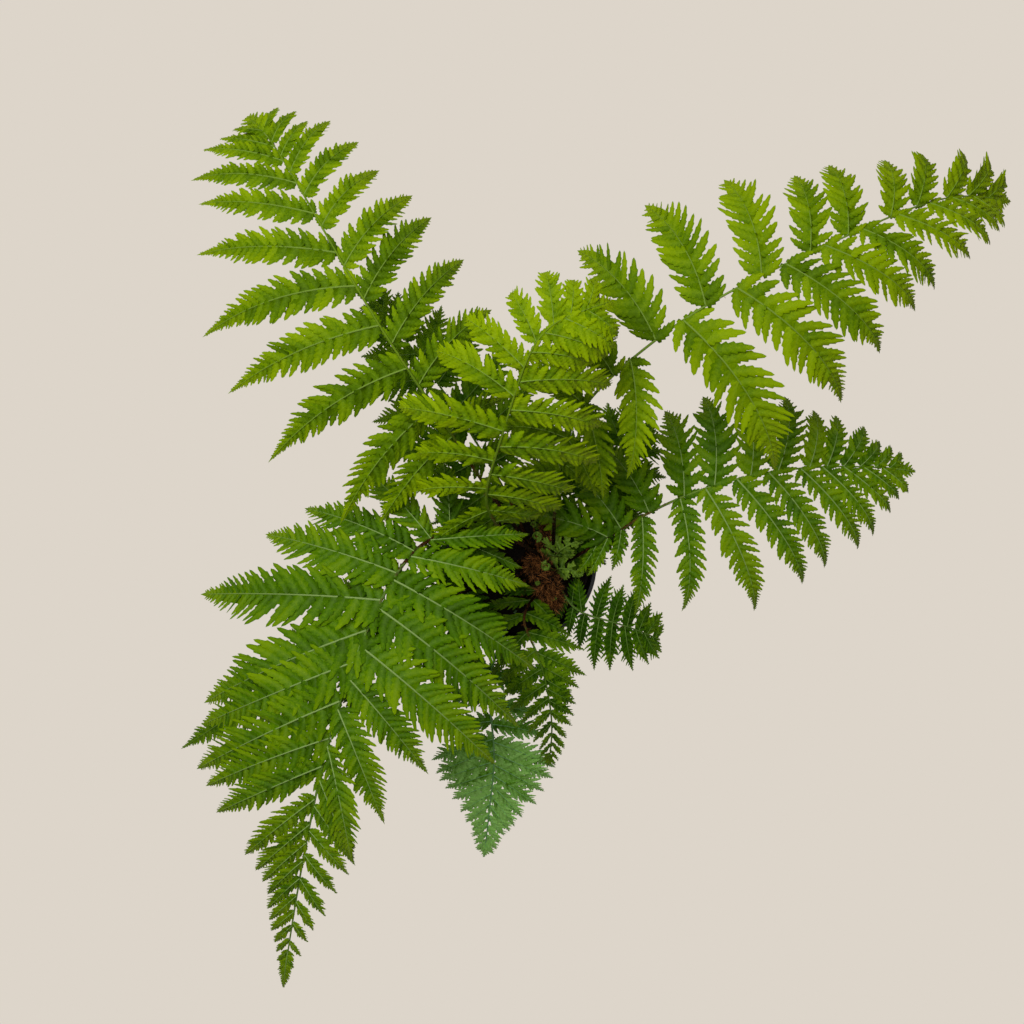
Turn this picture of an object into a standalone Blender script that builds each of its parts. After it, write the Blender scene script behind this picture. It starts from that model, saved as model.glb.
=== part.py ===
"""A young Australian tree fern in a round nursery pot.

Units are metres and +Z is up. The origin is the centre of the pot's base.
Each frond is one solid: a stalk with its leaflets in pairs, every leaflet one
arched blade whose outline is cut into lobes. The stalks stand in holes of the
scaly crown, and the crown stands in a hole of the soil that fills the pot.
"""

import math
import random

import bmesh
import bpy
from mathutils import Matrix, Vector
import numpy as np

MM = 0.001
GAP = 0.3 * MM
HOLE_GAP = 0.45 * MM

# Pot: a 17 cm round nursery pot, seen from above as a circle of 170 mm
POT_RIM_RADIUS = 85 * MM
POT_BASE_RADIUS = 61 * MM
POT_HEIGHT = 150 * MM
POT_WALL = 1.8 * MM
RIM_BAND = 12 * MM
RIM_STEP = 3.2 * MM
POT_SIDES = 36
DRAIN_HOLES = 5
DRAIN_RADIUS = 5 * MM
DRAIN_CIRCLE = 44 * MM
DRAIN_SIDES = 8

SOIL_TOP = 134 * MM
SOIL_LUMP = 1.6 * MM

# Crown: the short trunk that all fronds grow from, beside the pot's axis
CROWN_CENTRE = Vector((27, -5, 0)) * MM
CROWN_PROFILE = ((0, 112), (15, 113), (19, 124), (22, 134), (26, 143), (28, 153), (25, 162), (15, 169), (0, 171))
CROWN_SIDES = 20
CROWN_RINGS = 11
SCALE_HEIGHT = 1.5 * MM
STALK_ROOT = 147 * MM
ROOT_PULL = 0.9

# Leaflets
BLADE_THICKNESS = 1.6 * MM
NOTCH = 0.48
LOBE_TIP = 0.66
LOBE_LENGTH = 36 * MM
MOST_LOBES = 4
RIB_STEPS = 3
ARCH = 0.22
STALK_SIDES = 6
STALK_STEP = 55 * MM
LEAST_STEPS, MOST_STEPS = 6, 14
HOLE_STEPS = 4
TIP_RADIUS = 0.9 * MM
LAST_PAIR = 0.985

# Each frond: its route in mm from the crown to the tip, the radius of its stalk there, the share of the
# route without leaflets, the pairs of leaflets, half a leaflet's width as a share of its reach, how much the
# pairs close up towards the tip, and for each side how far the leaflets reach out (mm), their angle to the
# stalk (degrees) and how far they drop for each mm of reach.
# Reach and angle are given at the first pair, a quarter, half and three quarters of the way, and at the tip.
FRONDS = {
    "frond_upper_left": dict(
        route=((17, 14, 170), (-20, 62, 300), (-70, 137, 405), (-136, 238, 475), (-198, 345, 478),
               (-242, 416, 440), (-263, 442, 408)),
        radius=3.6, bare=0.28, pairs=13, width=0.155, closing=1.5,
        left=dict(start=1.2, reach=(110, 144, 158, 108, 12), angle=(112, 104, 79, 53, 46), drop=0.30),
        right=dict(start=0.0, reach=(50, 108, 108, 74, 12), angle=(98, 82, 66, 64, 60), drop=0.60),
    ),
    "frond_centre": dict(
        route=((26, 8, 173), (-19, 40, 300), (-34, 75, 390), (-21, 121, 465), (-2, 178, 525),
               (28, 225, 555), (58, 239, 548), (78, 247, 530)),
        radius=3.4, bare=0.335, pairs=11, width=0.16, closing=2.0,
        left=dict(start=1.0, reach=(0, 84, 98, 58, 10), angle=(104, 101, 90, 67, 54), drop=0.12),
        right=dict(start=0.5, reach=(70, 84, 88, 62, 12), angle=(100, 98, 86, 66, 52), drop=0.40),
    ),
    "frond_upper_right": dict(
        route=((35, 13, 168), (37, 81, 285), (57, 154, 365), (105, 204, 425), (175, 253, 465), (243, 288, 475),
               (326, 327, 458), (420, 364, 405), (493, 370, 340)),
        radius=3.8, bare=0.23, pairs=13, width=0.155, closing=1.3,
        left=dict(start=0.0, reach=(56, 118, 98, 42, 10), angle=(100, 92, 74, 50, 40), drop=0.50),
        right=dict(start=-0.5, reach=(90, 150, 136, 78, 12), angle=(126, 106, 67, 48, 38), drop=0.35),
    ),
    "frond_right": dict(
        route=((44, 1, 164), (77, 21, 225), (120, 49, 260), (166, 73, 288), (235, 95, 303), (319, 105, 292),
               (417, 102, 250)),
        radius=3.0, bare=0.20, pairs=14, width=0.15, closing=1.6,
        left=dict(start=0.5, reach=(60, 82, 76, 46, 10), angle=(98, 80, 77, 64, 40), drop=0.45),
        right=dict(start=0.0, reach=(92, 130, 126, 74, 12), angle=(132, 106, 68, 44, 34), drop=0.30),
    ),
    "frond_lower_left": dict(
        route=((4, 0, 168), (-38, 20, 285), (-84, 33, 345), (-114, 9, 382), (-147, -51, 412), (-175, -124, 412),
               (-203, -222, 370), (-226, -318, 312), (-254, -450, 225)),
        radius=4.0, bare=0.22, pairs=22, width=0.12, closing=1.45,
        left=dict(start=0.3, reach=(96, 184, 96, 38, 8), angle=(146, 70, 40, 50, 40), drop=0.30),
        right=dict(start=0.0, reach=(70, 186, 126, 42, 8), angle=(78, 52, 44, 29, 28), drop=0.35),
    ),
    "frond_front_low": dict(
        route=((12, -25, 160), (-13, -62, 205), (-32, -123, 205), (-29, -198, 168), (-33, -266, 120),
               (-41, -341, 62)),
        radius=2.6, bare=0.30, pairs=12, width=0.17, closing=1.5,
        left=dict(start=0.3, reach=(60, 82, 78, 46, 10), angle=(98, 80, 64, 46, 36), drop=0.30),
        right=dict(start=0.0, reach=(60, 80, 76, 46, 10), angle=(98, 80, 64, 46, 36), drop=0.30),
    ),
    "frond_front": dict(
        route=((24, -25, 164), (4, -57, 222), (17, -90, 248), (29, -133, 240), (34, -177, 208), (31, -221, 165)),
        radius=2.4, bare=0.34, pairs=9, width=0.18, closing=1.5,
        left=dict(start=0.3, reach=(42, 54, 46, 28, 8), angle=(95, 80, 64, 48, 38), drop=0.40),
        right=dict(start=0.0, reach=(42, 54, 46, 28, 8), angle=(95, 80, 64, 48, 38), drop=0.35),
    ),
    "frond_small_right": dict(
        route=((42, -20, 158), (58, -45, 180), (91, -59, 188), (122, -69, 176), (156, -84, 145)),
        radius=2.2, bare=0.30, pairs=7, width=0.18, closing=1.3,
        left=dict(start=0.3, reach=(42, 50, 46, 28, 8), angle=(92, 84, 70, 52, 40), drop=0.30),
        right=dict(start=0.0, reach=(46, 54, 48, 28, 8), angle=(98, 88, 72, 52, 40), drop=0.40),
    ),
    "frond_under_right": dict(
        route=((44, 13, 160), (64, 50, 198), (86, 95, 210), (110, 131, 196), (135, 162, 164)),
        radius=2.3, bare=0.32, pairs=8, width=0.18, closing=1.4,
        left=dict(start=0.3, reach=(46, 58, 50, 30, 8), angle=(95, 82, 66, 50, 40), drop=0.35),
        right=dict(start=0.0, reach=(46, 58, 50, 30, 8), angle=(95, 82, 66, 50, 40), drop=0.35),
    ),
    "frond_under_left": dict(
        route=((5, -13, 160), (-41, -21, 222), (-106, -50, 240), (-171, -91, 232), (-238, -119, 205),
               (-302, -155, 168), (-382, -209, 115)),
        radius=2.8, bare=0.26, pairs=13, width=0.16, closing=1.4,
        left=dict(start=0.3, reach=(60, 84, 80, 48, 10), angle=(98, 80, 62, 46, 36), drop=0.35),
        right=dict(start=0.0, reach=(60, 84, 80, 48, 10), angle=(98, 80, 62, 46, 36), drop=0.35),
    ),
    "frond_under_top": dict(
        route=((12, 19, 160), (-9, 66, 245), (-47, 132, 298), (-85, 190, 315), (-124, 242, 305), (-156, 281, 280)),
        radius=2.8, bare=0.34, pairs=10, width=0.17, closing=1.5,
        left=dict(start=0.3, reach=(56, 74, 66, 40, 10), angle=(95, 82, 66, 50, 40), drop=0.35),
        right=dict(start=0.0, reach=(56, 74, 66, 40, 10), angle=(95, 82, 66, 50, 40), drop=0.35),
    ),
    "young_frond_upper": dict(
        route=((36, 1, 166), (39, 11, 194), (47, 20, 216), (60, 27, 219)),
        radius=1.8, bare=0.62, pairs=4, width=0.2, closing=1.3,
        left=dict(start=0.3, reach=(12, 15, 13, 9, 5), angle=(90, 80, 66, 50, 40), drop=0.10),
        right=dict(start=0.0, reach=(12, 14, 12, 9, 5), angle=(90, 80, 66, 50, 40), drop=0.10),
    ),
    "young_frond_lower": dict(
        route=((38, -9, 164), (40, -4, 188), (48, -3, 200), (60, -6, 196)),
        radius=1.6, bare=0.55, pairs=3, width=0.2, closing=1.3,
        left=dict(start=0.3, reach=(13, 15, 12, 8, 4), angle=(90, 80, 66, 50, 40), drop=0.10),
        right=dict(start=0.0, reach=(13, 15, 12, 8, 4), angle=(90, 80, 66, 50, 40), drop=0.10),
    ),
}

# Each crozier: its foot on the crown, the centre of its coil, the radius of the coil's outer turn, the radius
# of its woolly stalk, the direction in which the coil starts and how far the coil leans over (mm, degrees).
CROZIERS = {
    "crozier_left": dict(foot=(22, -8, 162), centre=(19, -3, 204), coil=8.5, stalk=4.2, start=235, lean=18),
    "crozier_front": dict(foot=(31, -14, 162), centre=(31, -25, 194), coil=9.5, stalk=4.6, start=80, lean=24),
    "crozier_low": dict(foot=(34, -24, 156), centre=(36, -41, 178), coil=6.5, stalk=3.4, start=100, lean=30),
    "crozier_back": dict(foot=(26, 18, 156), centre=(31, 37, 186), coil=8.0, stalk=4.2, start=260, lean=26),
}
COIL_TURNS = 1.1
COIL_CLOSING = 0.5
COIL_STEPS = 10
RISE_STEPS = 3
CROZIER_SIDES = 6


def clear_scene():
    for obj in list(bpy.data.objects):
        bpy.data.objects.remove(obj, do_unlink=True)


def finish(name, colour, roughness):
    """A plain material in the piece's own colour."""
    material = bpy.data.materials.new(name)
    material.use_nodes = True
    shader = material.node_tree.nodes["Principled BSDF"]
    shader.inputs["Base Color"].default_value = (*colour, 1.0)
    shader.inputs["Roughness"].default_value = roughness
    shader.inputs["Metallic"].default_value = 0.0
    return material


def object_of(name, points, faces, material=None):
    """A mesh object with its faces turned outwards."""
    mesh = bpy.data.meshes.new(name)
    mesh.from_pydata([tuple(point) for point in points], [], faces)
    shape = bmesh.new()
    shape.from_mesh(mesh)
    bmesh.ops.recalc_face_normals(shape, faces=shape.faces)
    shape.to_mesh(mesh)
    shape.free()
    if material is not None:
        mesh.materials.append(material)
    obj = bpy.data.objects.new(name, mesh)
    bpy.context.scene.collection.objects.link(obj)
    return obj


def smooth_route(points, steps):
    """Points and directions along a natural cubic spline through the given points, evenly spaced."""
    points = np.array(points, float)
    gaps = np.linalg.norm(np.diff(points, axis=0), axis=1)
    knots = np.concatenate([[0], np.cumsum(gaps)])
    count = len(points)
    system = np.eye(count)
    right_side = np.zeros_like(points)
    for i in range(1, count - 1):
        system[i, i - 1 : i + 2] = gaps[i - 1], 2 * (gaps[i - 1] + gaps[i]), gaps[i]
        rise = (points[i + 1] - points[i]) / gaps[i]
        right_side[i] = 6 * (rise - (points[i] - points[i - 1]) / gaps[i - 1])
    bend = np.linalg.solve(system, right_side)

    def at(distance):
        i = min(max(np.searchsorted(knots, distance) - 1, 0), count - 2)
        before, after, width = distance - knots[i], knots[i + 1] - distance, gaps[i]
        straight = (points[i] / width - bend[i] * width / 6) * after
        straight += (points[i + 1] / width - bend[i + 1] * width / 6) * before
        return straight + (bend[i] * after**3 + bend[i + 1] * before**3) / (6 * width)

    fine = np.array([at(d) for d in np.linspace(0, knots[-1], 8 * steps + 1)])
    lengths = np.concatenate([[0], np.cumsum(np.linalg.norm(np.diff(fine, axis=0), axis=1))])
    even = np.linspace(0, lengths[-1], steps + 1)
    route = np.stack([np.interp(even, lengths, fine[:, axis]) for axis in range(3)], axis=1)
    directions = np.gradient(route, axis=0)
    directions /= np.linalg.norm(directions, axis=1)[:, None]
    return route, directions


def sampled(values, share):
    """The value at a share of the way along a list of points or directions."""
    place = min(max(share, 0.0), 1.0) * (len(values) - 1)
    low = min(int(place), len(values) - 2)
    return Vector(values[low] + (values[low + 1] - values[low]) * (place - low))


def tube(name, route, radii, sides):
    """A closed tube along a route, with its sections turned as little as possible."""
    route = [Vector(point) for point in route]
    points, faces = [], []
    across = None
    for i, centre in enumerate(route):
        ahead = (route[min(i + 1, len(route) - 1)] - route[max(i - 1, 0)]).normalized()
        if across is None:
            across = ahead.orthogonal()
        across = (across - ahead * across.dot(ahead)).normalized()
        beside = ahead.cross(across)
        for k in range(sides):
            turn = math.tau * k / sides
            points.append(centre + (across * math.cos(turn) + beside * math.sin(turn)) * radii[i])
    for i in range(len(route) - 1):
        for k in range(sides):
            a, b = i * sides + k, i * sides + (k + 1) % sides
            faces.append((a, b, b + sides, a + sides))
    faces.append(tuple(reversed(range(sides))))
    faces.append(tuple(range(len(points) - sides, len(points))))
    return object_of(name, points, faces)


def blade_width(share):
    """Half the width of a leaflet along its length, as a share of its widest place."""
    return (0.85 + 0.15 * math.sin(min(share / 0.25, 1.0) * math.pi / 2)) * (1 - share**2.2) ** 0.8


def blade(name, foot, heading, normal, reach, half_width, drop):
    """One leaflet: a thin arched blade, thickest at its rib, with its outline cut into lobes."""
    lobes = max(1, min(MOST_LOBES, round(reach / LOBE_LENGTH)))
    ribs = RIB_STEPS if lobes > 1 else 2
    down = Vector((0, 0, -1))

    def middle(share):
        return foot + heading * (reach * share) - down * (ARCH * share - (ARCH + drop) * share**2) * reach

    def side_of(share):
        ahead = (middle(share + 0.01) - middle(share - 0.01)).normalized()
        flat = (normal * (1 - 0.5 * share) - down * (0.5 * share)).normalized()
        return flat.cross(ahead).normalized(), ahead

    points, faces = [], []
    rib_shares = [i / ribs for i in range(ribs)]
    for share in rib_shares:
        side, ahead = side_of(share)
        up = ahead.cross(side).normalized()
        thick = BLADE_THICKNESS * (1 - 0.45 * share)
        points.append(middle(share) + up * thick / 2)
        points.append(middle(share) - up * thick / 2)
    tip = len(points)
    points.append(middle(1.0))
    for sign in (1, -1):
        shares = [0.0]
        widths = [NOTCH]
        for lobe in range(lobes):
            if lobe:
                shares.append(lobe / lobes)
                widths.append(NOTCH)
            shares.append((lobe + LOBE_TIP) / lobes)
            widths.append(1.0)
        margin = len(points)
        for share, width in zip(shares, widths):
            side, ahead = side_of(share)
            out = blade_width(share) * half_width * width
            points.append(middle(share) + side * (sign * out))
        outer = list(range(margin, len(points))) + [tip]
        outer_shares = shares + [1.0]
        for face in (0, 1):
            inner = [2 * i + face for i in range(ribs)] + [tip]
            inner_shares = rib_shares + [1.0]
            i = j = 0
            while i < len(inner) - 1 or j < len(outer) - 1:
                along_rib = j == len(outer) - 1 or (
                    i < len(inner) - 1 and inner_shares[i + 1] <= outer_shares[j + 1]
                )
                if along_rib and inner[i + 1] == outer[j]:
                    break
                if not along_rib and outer[j + 1] == inner[i]:
                    break
                if along_rib:
                    faces.append((inner[i], inner[i + 1], outer[j]))
                    i += 1
                else:
                    faces.append((inner[i], outer[j + 1], outer[j]))
                    j += 1
        faces.append((0, margin, 1))
    return object_of(name, points, faces)


def at_station(values, share):
    """A value between those given at the first pair, each quarter of the way and the tip."""
    return float(np.interp(share, np.linspace(0, 1, len(values)), values))


def drop_scraps(body):
    """Keeps the largest connected body of a mesh and drops the slivers that a Boolean left loose."""
    shape = bmesh.new()
    shape.from_mesh(body.data)
    bodies, seen = [], set()
    for face in shape.faces:
        if face in seen:
            continue
        found, waiting = {face}, [face]
        while waiting:
            for edge in waiting.pop().edges:
                for beside in edge.link_faces:
                    if beside not in found:
                        found.add(beside)
                        waiting.append(beside)
        seen |= found
        bodies.append(found)
    bodies.sort(key=len)
    for scrap in bodies[:-1]:
        bmesh.ops.delete(shape, geom=list(scrap), context="FACES")
    shape.to_mesh(body.data)
    shape.free()


def union_of(name, pieces, material, solver="EXACT"):
    """All pieces joined in the first one, as one closed solid."""
    body = pieces[0]
    group = bpy.data.collections.new(name + "_parts")
    bpy.context.scene.collection.children.link(group)
    for piece in pieces[1:]:
        group.objects.link(piece)
        bpy.context.scene.collection.objects.unlink(piece)
    join = body.modifiers.new("Join", "BOOLEAN")
    join.operation = "UNION"
    join.operand_type = "COLLECTION"
    join.collection = group
    join.solver = solver
    bpy.context.view_layer.objects.active = body
    bpy.ops.object.modifier_apply(modifier=join.name)
    for piece in pieces[1:]:
        bpy.data.objects.remove(piece, do_unlink=True)
    bpy.data.collections.remove(group)
    drop_scraps(body)
    body.name = name
    body.data.name = name
    body.data.materials.clear()
    body.data.materials.append(material)
    return body


def rooted(route):
    """The route with its root inside the crown, before its first point."""
    start = Vector(route[0]) * MM
    inwards = CROWN_CENTRE + (start - CROWN_CENTRE) * ROOT_PULL
    return [(inwards.x, inwards.y, STALK_ROOT)] + [tuple(Vector(point) * MM) for point in route]


def stalk_radii(shape, count):
    radius = shape["radius"] * MM
    return [radius + (TIP_RADIUS - radius) * (i / count) ** 0.8 for i in range(count + 1)]


def stalk_axis(shape):
    """The middle line of a stalk as a chain of a few straight pieces."""
    route = rooted(shape["route"])
    length = sum((Vector(b) - Vector(a)).length for a, b in zip(route, route[1:]))
    steps = max(LEAST_STEPS, min(MOST_STEPS, round(length / STALK_STEP)))
    return smooth_route(route, steps)[0]


def stalk(name, shape):
    axis = stalk_axis(shape)
    return tube(name, axis, stalk_radii(shape, len(axis) - 1), STALK_SIDES)


def sunk(path):
    """The path with its first point moved back a little, so that a hole is deeper than what stands in it."""
    path = [Vector(point) for point in path]
    path[0] -= (path[1] - path[0]).normalized() * HOLE_GAP
    return path


def stalk_hole(name, shape):
    """The space that a stalk takes up in the crown, with a gap all round."""
    axis = stalk_axis(shape)
    radii = [radius + HOLE_GAP for radius in stalk_radii(shape, len(axis) - 1)]
    return tube(name, sunk(axis[:HOLE_STEPS]), radii[:HOLE_STEPS], STALK_SIDES)


def pair_share(shape, number):
    """Where a pair stands between the first pair and the tip: the pairs close up towards the tip."""
    return 1 - (1 - min(max(number / shape["pairs"], 0.0), 1.0)) ** shape["closing"]


def frond(name, shape, material, seed):
    """A stalk and its leaflets in pairs, joined in one solid."""
    draw = random.Random(seed)
    axis = stalk_axis(shape)
    _, directions = smooth_route(rooted(shape["route"]), 8 * MOST_STEPS)
    pieces = [stalk(name, shape)]
    for side_name, sign in (("left", 1), ("right", -1)):
        side = shape[side_name]
        for number in range(shape["pairs"]):
            along = pair_share(shape, number + side["start"])
            if along > LAST_PAIR:
                continue
            share = shape["bare"] + (1 - shape["bare"]) * along
            foot, ahead = sampled(axis, share), sampled(directions, share)
            turn = math.radians(at_station(side["angle"], along) + draw.uniform(-3, 3)) * sign
            reach = at_station(side["reach"], along) * MM * draw.uniform(0.97, 1.03)
            drop = side["drop"] + draw.uniform(-0.05, 0.05)
            plan = Vector((ahead.x, ahead.y, 0)).normalized()
            heading = Matrix.Rotation(turn, 3, "Z") @ plan
            normal = heading.cross(ahead) * -sign
            half_width = shape["width"] * reach
            pieces.append(blade(f"{name}_{side_name}_{number}", foot, heading, normal, reach, half_width, drop))
    return union_of(name, pieces, material)


def crozier_path(shape):
    """The middle line of a crozier with its radii: the stalk from its foot up, then the coil from outside in."""
    centre = Vector(shape["centre"]) * MM
    outwards = (centre - CROWN_CENTRE) * Vector((1, 1, 0))
    lean = Matrix.Rotation(-math.radians(shape["lean"]), 3, outwards.cross(Vector((0, 0, 1))))
    foot = Vector(shape["foot"]) * MM
    coil, thick = shape["coil"] * MM, shape["stalk"] * MM
    turns = []
    for step in range(COIL_STEPS + 1):
        done = step / COIL_STEPS
        turn = math.radians(shape["start"]) + math.tau * COIL_TURNS * done
        flat = Vector((math.cos(turn), math.sin(turn), 0.25 * done))
        turns.append(centre + lean @ flat * coil * (1 - COIL_CLOSING * done))
    middle = foot.lerp(turns[0], 0.5) + Vector((0, 0, 3)) * MM
    rise, _ = smooth_route([foot, middle, turns[0]], RISE_STEPS)
    path = [Vector(point) for point in rise[:-1]] + turns
    radii = [thick * (0.85 + 0.15 * i / RISE_STEPS) for i in range(RISE_STEPS)]
    radii += [thick * (1 - 0.3 * i / COIL_STEPS) for i in range(len(turns))]
    return path, radii, lean @ Vector((0, 0, 1))


def crozier(name, shape, material):
    """A young frond still coiled up: a woolly stalk that rises and ends in a flat coil."""
    path, radii, axis = crozier_path(shape)
    half = RISE_STEPS + COIL_STEPS // 2
    outer = tube(name, path[: half + 1], radii[: half + 1], CROZIER_SIDES)
    inner = tube(name + "_inner", path[half - 1 :], [0.96 * radius for radius in radii[half - 1 :]], CROZIER_SIDES)
    centre = Vector(shape["centre"]) * MM
    ends = [centre - axis * radii[0] * 0.6, centre + axis * radii[0] * 0.9]
    wide = shape["coil"] * MM * (1 - COIL_CLOSING)
    core = tube(name + "_core", ends, [wide, 0.7 * wide], CROZIER_SIDES)
    return union_of(name, [outer, inner, core], material)


def crozier_hole(name, shape):
    """The space that a crozier's foot takes up in the crown, with a gap all round."""
    path, radii, _ = crozier_path(shape)
    return tube(name, sunk(path[:RISE_STEPS]), [radius + HOLE_GAP for radius in radii[:RISE_STEPS]], CROZIER_SIDES)


def turned(name, profile, sides, material=None, centre=Vector((0, 0, 0))):
    """A closed solid of revolution from a profile that runs from the axis to the axis."""
    points, faces, rings = [], [], []
    for radius, height in profile:
        ring = []
        if radius == 0:
            ring.append(len(points))
            points.append(centre + Vector((0, 0, height)))
        else:
            for k in range(sides):
                turn = math.tau * k / sides
                ring.append(len(points))
                points.append(centre + Vector((radius * math.cos(turn), radius * math.sin(turn), height)))
        rings.append(ring)
    for low, high in zip(rings, rings[1:]):
        for k in range(sides):
            after = (k + 1) % sides
            if len(low) == 1:
                faces.append((low[0], high[after], high[k]))
            elif len(high) == 1:
                faces.append((low[k], low[after], high[0]))
            else:
                faces.append((low[k], low[after], high[after], high[k]))
    return object_of(name, points, faces, material)


def cut(body, cutters, solver="EXACT"):
    """The body with each cutter's shape taken out of it, and the cutters gone."""
    for cutter in cutters:
        hole = body.modifiers.new("Hole", "BOOLEAN")
        hole.operation = "DIFFERENCE"
        hole.object = cutter
        hole.solver = solver
        bpy.context.view_layer.objects.active = body
        bpy.ops.object.modifier_apply(modifier=hole.name)
        bpy.data.objects.remove(cutter, do_unlink=True)


def pot_inside(height):
    """The pot's inner radius at a height."""
    share = height / POT_HEIGHT
    outer = POT_BASE_RADIUS + (POT_RIM_RADIUS - RIM_STEP - POT_BASE_RADIUS) * share
    return outer - POT_WALL


def pot(material):
    band = POT_HEIGHT - RIM_BAND
    below_band = pot_inside(band) + POT_WALL
    profile = [
        (0, 0),
        (POT_BASE_RADIUS - 1.5 * MM, 0),
        (POT_BASE_RADIUS, 1.5 * MM),
        (below_band, band),
        (POT_RIM_RADIUS - 0.8 * MM, band + 0.6 * MM),
        (POT_RIM_RADIUS, band + 1.8 * MM),
        (POT_RIM_RADIUS, POT_HEIGHT - 1.2 * MM),
        (POT_RIM_RADIUS - 1.0 * MM, POT_HEIGHT),
        (pot_inside(POT_HEIGHT) + 1.0 * MM, POT_HEIGHT),
        (pot_inside(POT_HEIGHT), POT_HEIGHT - 1.2 * MM),
        (pot_inside(POT_WALL), POT_WALL),
        (0, POT_WALL),
    ]
    body = turned("pot", profile, POT_SIDES, material)
    drains = []
    for k in range(DRAIN_HOLES):
        turn = math.tau * (k + 0.3) / DRAIN_HOLES
        place = Vector((math.cos(turn), math.sin(turn), 0)) * DRAIN_CIRCLE
        ends = [(0, -2 * MM), (DRAIN_RADIUS, -2 * MM), (DRAIN_RADIUS, 4 * MM), (0, 4 * MM)]
        drains.append(turned(f"drain_{k}", ends, DRAIN_SIDES, centre=place))
    cut(body, drains)
    return body


def soil(material):
    base = POT_WALL + GAP
    profile = [(0, base), (pot_inside(base) - 2 * GAP, base)]
    profile.append((pot_inside(SOIL_TOP) - 2 * GAP, SOIL_TOP - 3 * MM))
    for radius in (60, 40, 20):
        profile.append((radius * MM, SOIL_TOP))
    profile.append((0, SOIL_TOP))
    body = turned("soil", profile, POT_SIDES, material)
    for vertex in body.data.vertices:
        x, y = vertex.co.x / MM, vertex.co.y / MM
        if vertex.co.z > SOIL_TOP - 4 * MM and math.hypot(x, y) < 70:
            vertex.co.z += SOIL_LUMP * math.sin(x / 7.3) * math.cos(y / 6.1)
    return body


def crown_body(name, extra, sides, rings, scales, material=None):
    """The crown's turned shape, grown by extra, with its scales raised by a formula."""
    radii = [radius * MM for radius, _ in CROWN_PROFILE]
    heights = [height * MM for _, height in CROWN_PROFILE]
    lengths = np.concatenate([[0], np.cumsum(np.hypot(np.diff(radii), np.diff(heights)))])
    profile = []
    for i in range(rings + 1):
        place = lengths[-1] * i / rings
        radius = float(np.interp(place, lengths, radii))
        height = float(np.interp(place, lengths, heights))
        profile.append((radius + (extra if radius else 0), height))
    profile[0] = (0, heights[0] - extra)
    profile[-1] = (0, heights[-1] + extra)
    profile[1] = (profile[1][0], heights[0] - extra)
    body = turned(name, profile, sides, material, CROWN_CENTRE)
    if scales:
        for vertex in body.data.vertices:
            offset = vertex.co - CROWN_CENTRE
            turn = math.atan2(offset.y, offset.x)
            wave = math.sin(6 * turn + offset.z / MM * 0.75) * math.sin(5 * turn - offset.z / MM * 0.6)
            if offset.z > SOIL_TOP + 10 * MM and math.hypot(offset.x, offset.y) > 4 * MM:
                flat = Vector((offset.x, offset.y, 0)).normalized()
                vertex.co += flat * SCALE_HEIGHT * wave
    return body


def crown(material):
    """The scaly crown, with a hole for each stalk and crozier that stands in it."""
    body = crown_body("crown", 0.0, CROWN_SIDES, CROWN_RINGS, True, material)
    cutters = []
    for name, shape in FRONDS.items():
        cutters.append(stalk_hole("hole_" + name, shape))
    for name, shape in CROZIERS.items():
        cutters.append(crozier_hole("hole_" + name, shape))
    cut(body, cutters)
    return body


def build():
    clear_scene()
    black_plastic = finish("black_plastic", (0.012, 0.012, 0.013), 0.45)
    potting_soil = finish("potting_soil", (0.035, 0.022, 0.014), 0.95)
    brown_scales = finish("brown_scales", (0.09, 0.045, 0.02), 0.85)
    leaf = finish("leaf", (0.10, 0.20, 0.02), 0.55)
    young_leaf = finish("young_leaf", (0.14, 0.24, 0.05), 0.6)
    pot(black_plastic)
    body = soil(potting_soil)
    cut(body, [crown_body("hole_crown", 2 * GAP, CROWN_SIDES, CROWN_RINGS, False)])
    crown(brown_scales)
    for seed, (name, shape) in enumerate(FRONDS.items()):
        frond(name, shape, young_leaf if name.startswith("young") else leaf, seed)
    for name, shape in CROZIERS.items():
        crozier(name, shape, brown_scales)


build()
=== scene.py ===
"""The looks of a young Australian tree fern in a round nursery pot, around its CAD frame."""

import math
import random

import bpy
from mathutils import Matrix, Vector
import numpy as np


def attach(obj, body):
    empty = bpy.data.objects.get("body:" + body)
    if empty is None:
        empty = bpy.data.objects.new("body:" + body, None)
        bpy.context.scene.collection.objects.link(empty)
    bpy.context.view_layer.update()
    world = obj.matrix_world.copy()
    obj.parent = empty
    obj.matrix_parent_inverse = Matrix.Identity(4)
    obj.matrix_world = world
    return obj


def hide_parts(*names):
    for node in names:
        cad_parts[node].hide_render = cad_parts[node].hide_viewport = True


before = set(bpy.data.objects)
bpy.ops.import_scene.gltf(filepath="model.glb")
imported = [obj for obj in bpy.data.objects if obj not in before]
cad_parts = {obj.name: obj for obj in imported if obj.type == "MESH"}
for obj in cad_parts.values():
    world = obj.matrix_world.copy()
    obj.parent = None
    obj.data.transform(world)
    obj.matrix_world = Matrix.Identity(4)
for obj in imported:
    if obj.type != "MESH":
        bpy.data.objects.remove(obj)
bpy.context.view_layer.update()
bpy.ops.object.select_all(action="DESELECT")

MM = 0.001

# The studio: a camera that looks straight down, a plain pale floor without shadows, and soft light from a
# wide white panel overhead with a weaker glow all round.
CAMERA_PLACE = (-0.0089, 0.0582, 2.2)
CAMERA_LENS, CAMERA_SENSOR = 65, 36
CAMERA_NEAREST = 50 * MM
FLOOR_SIZE = 6
FLOOR_DROP = 0.5 * MM
FLOOR_COLOUR = "#DDD5CA"
PANEL_SIZE = 1.3
PANEL_PLACE = (-0.45, 0.55, 2.4)
PANEL_POWER = 29
GLOW = 0.15


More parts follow.
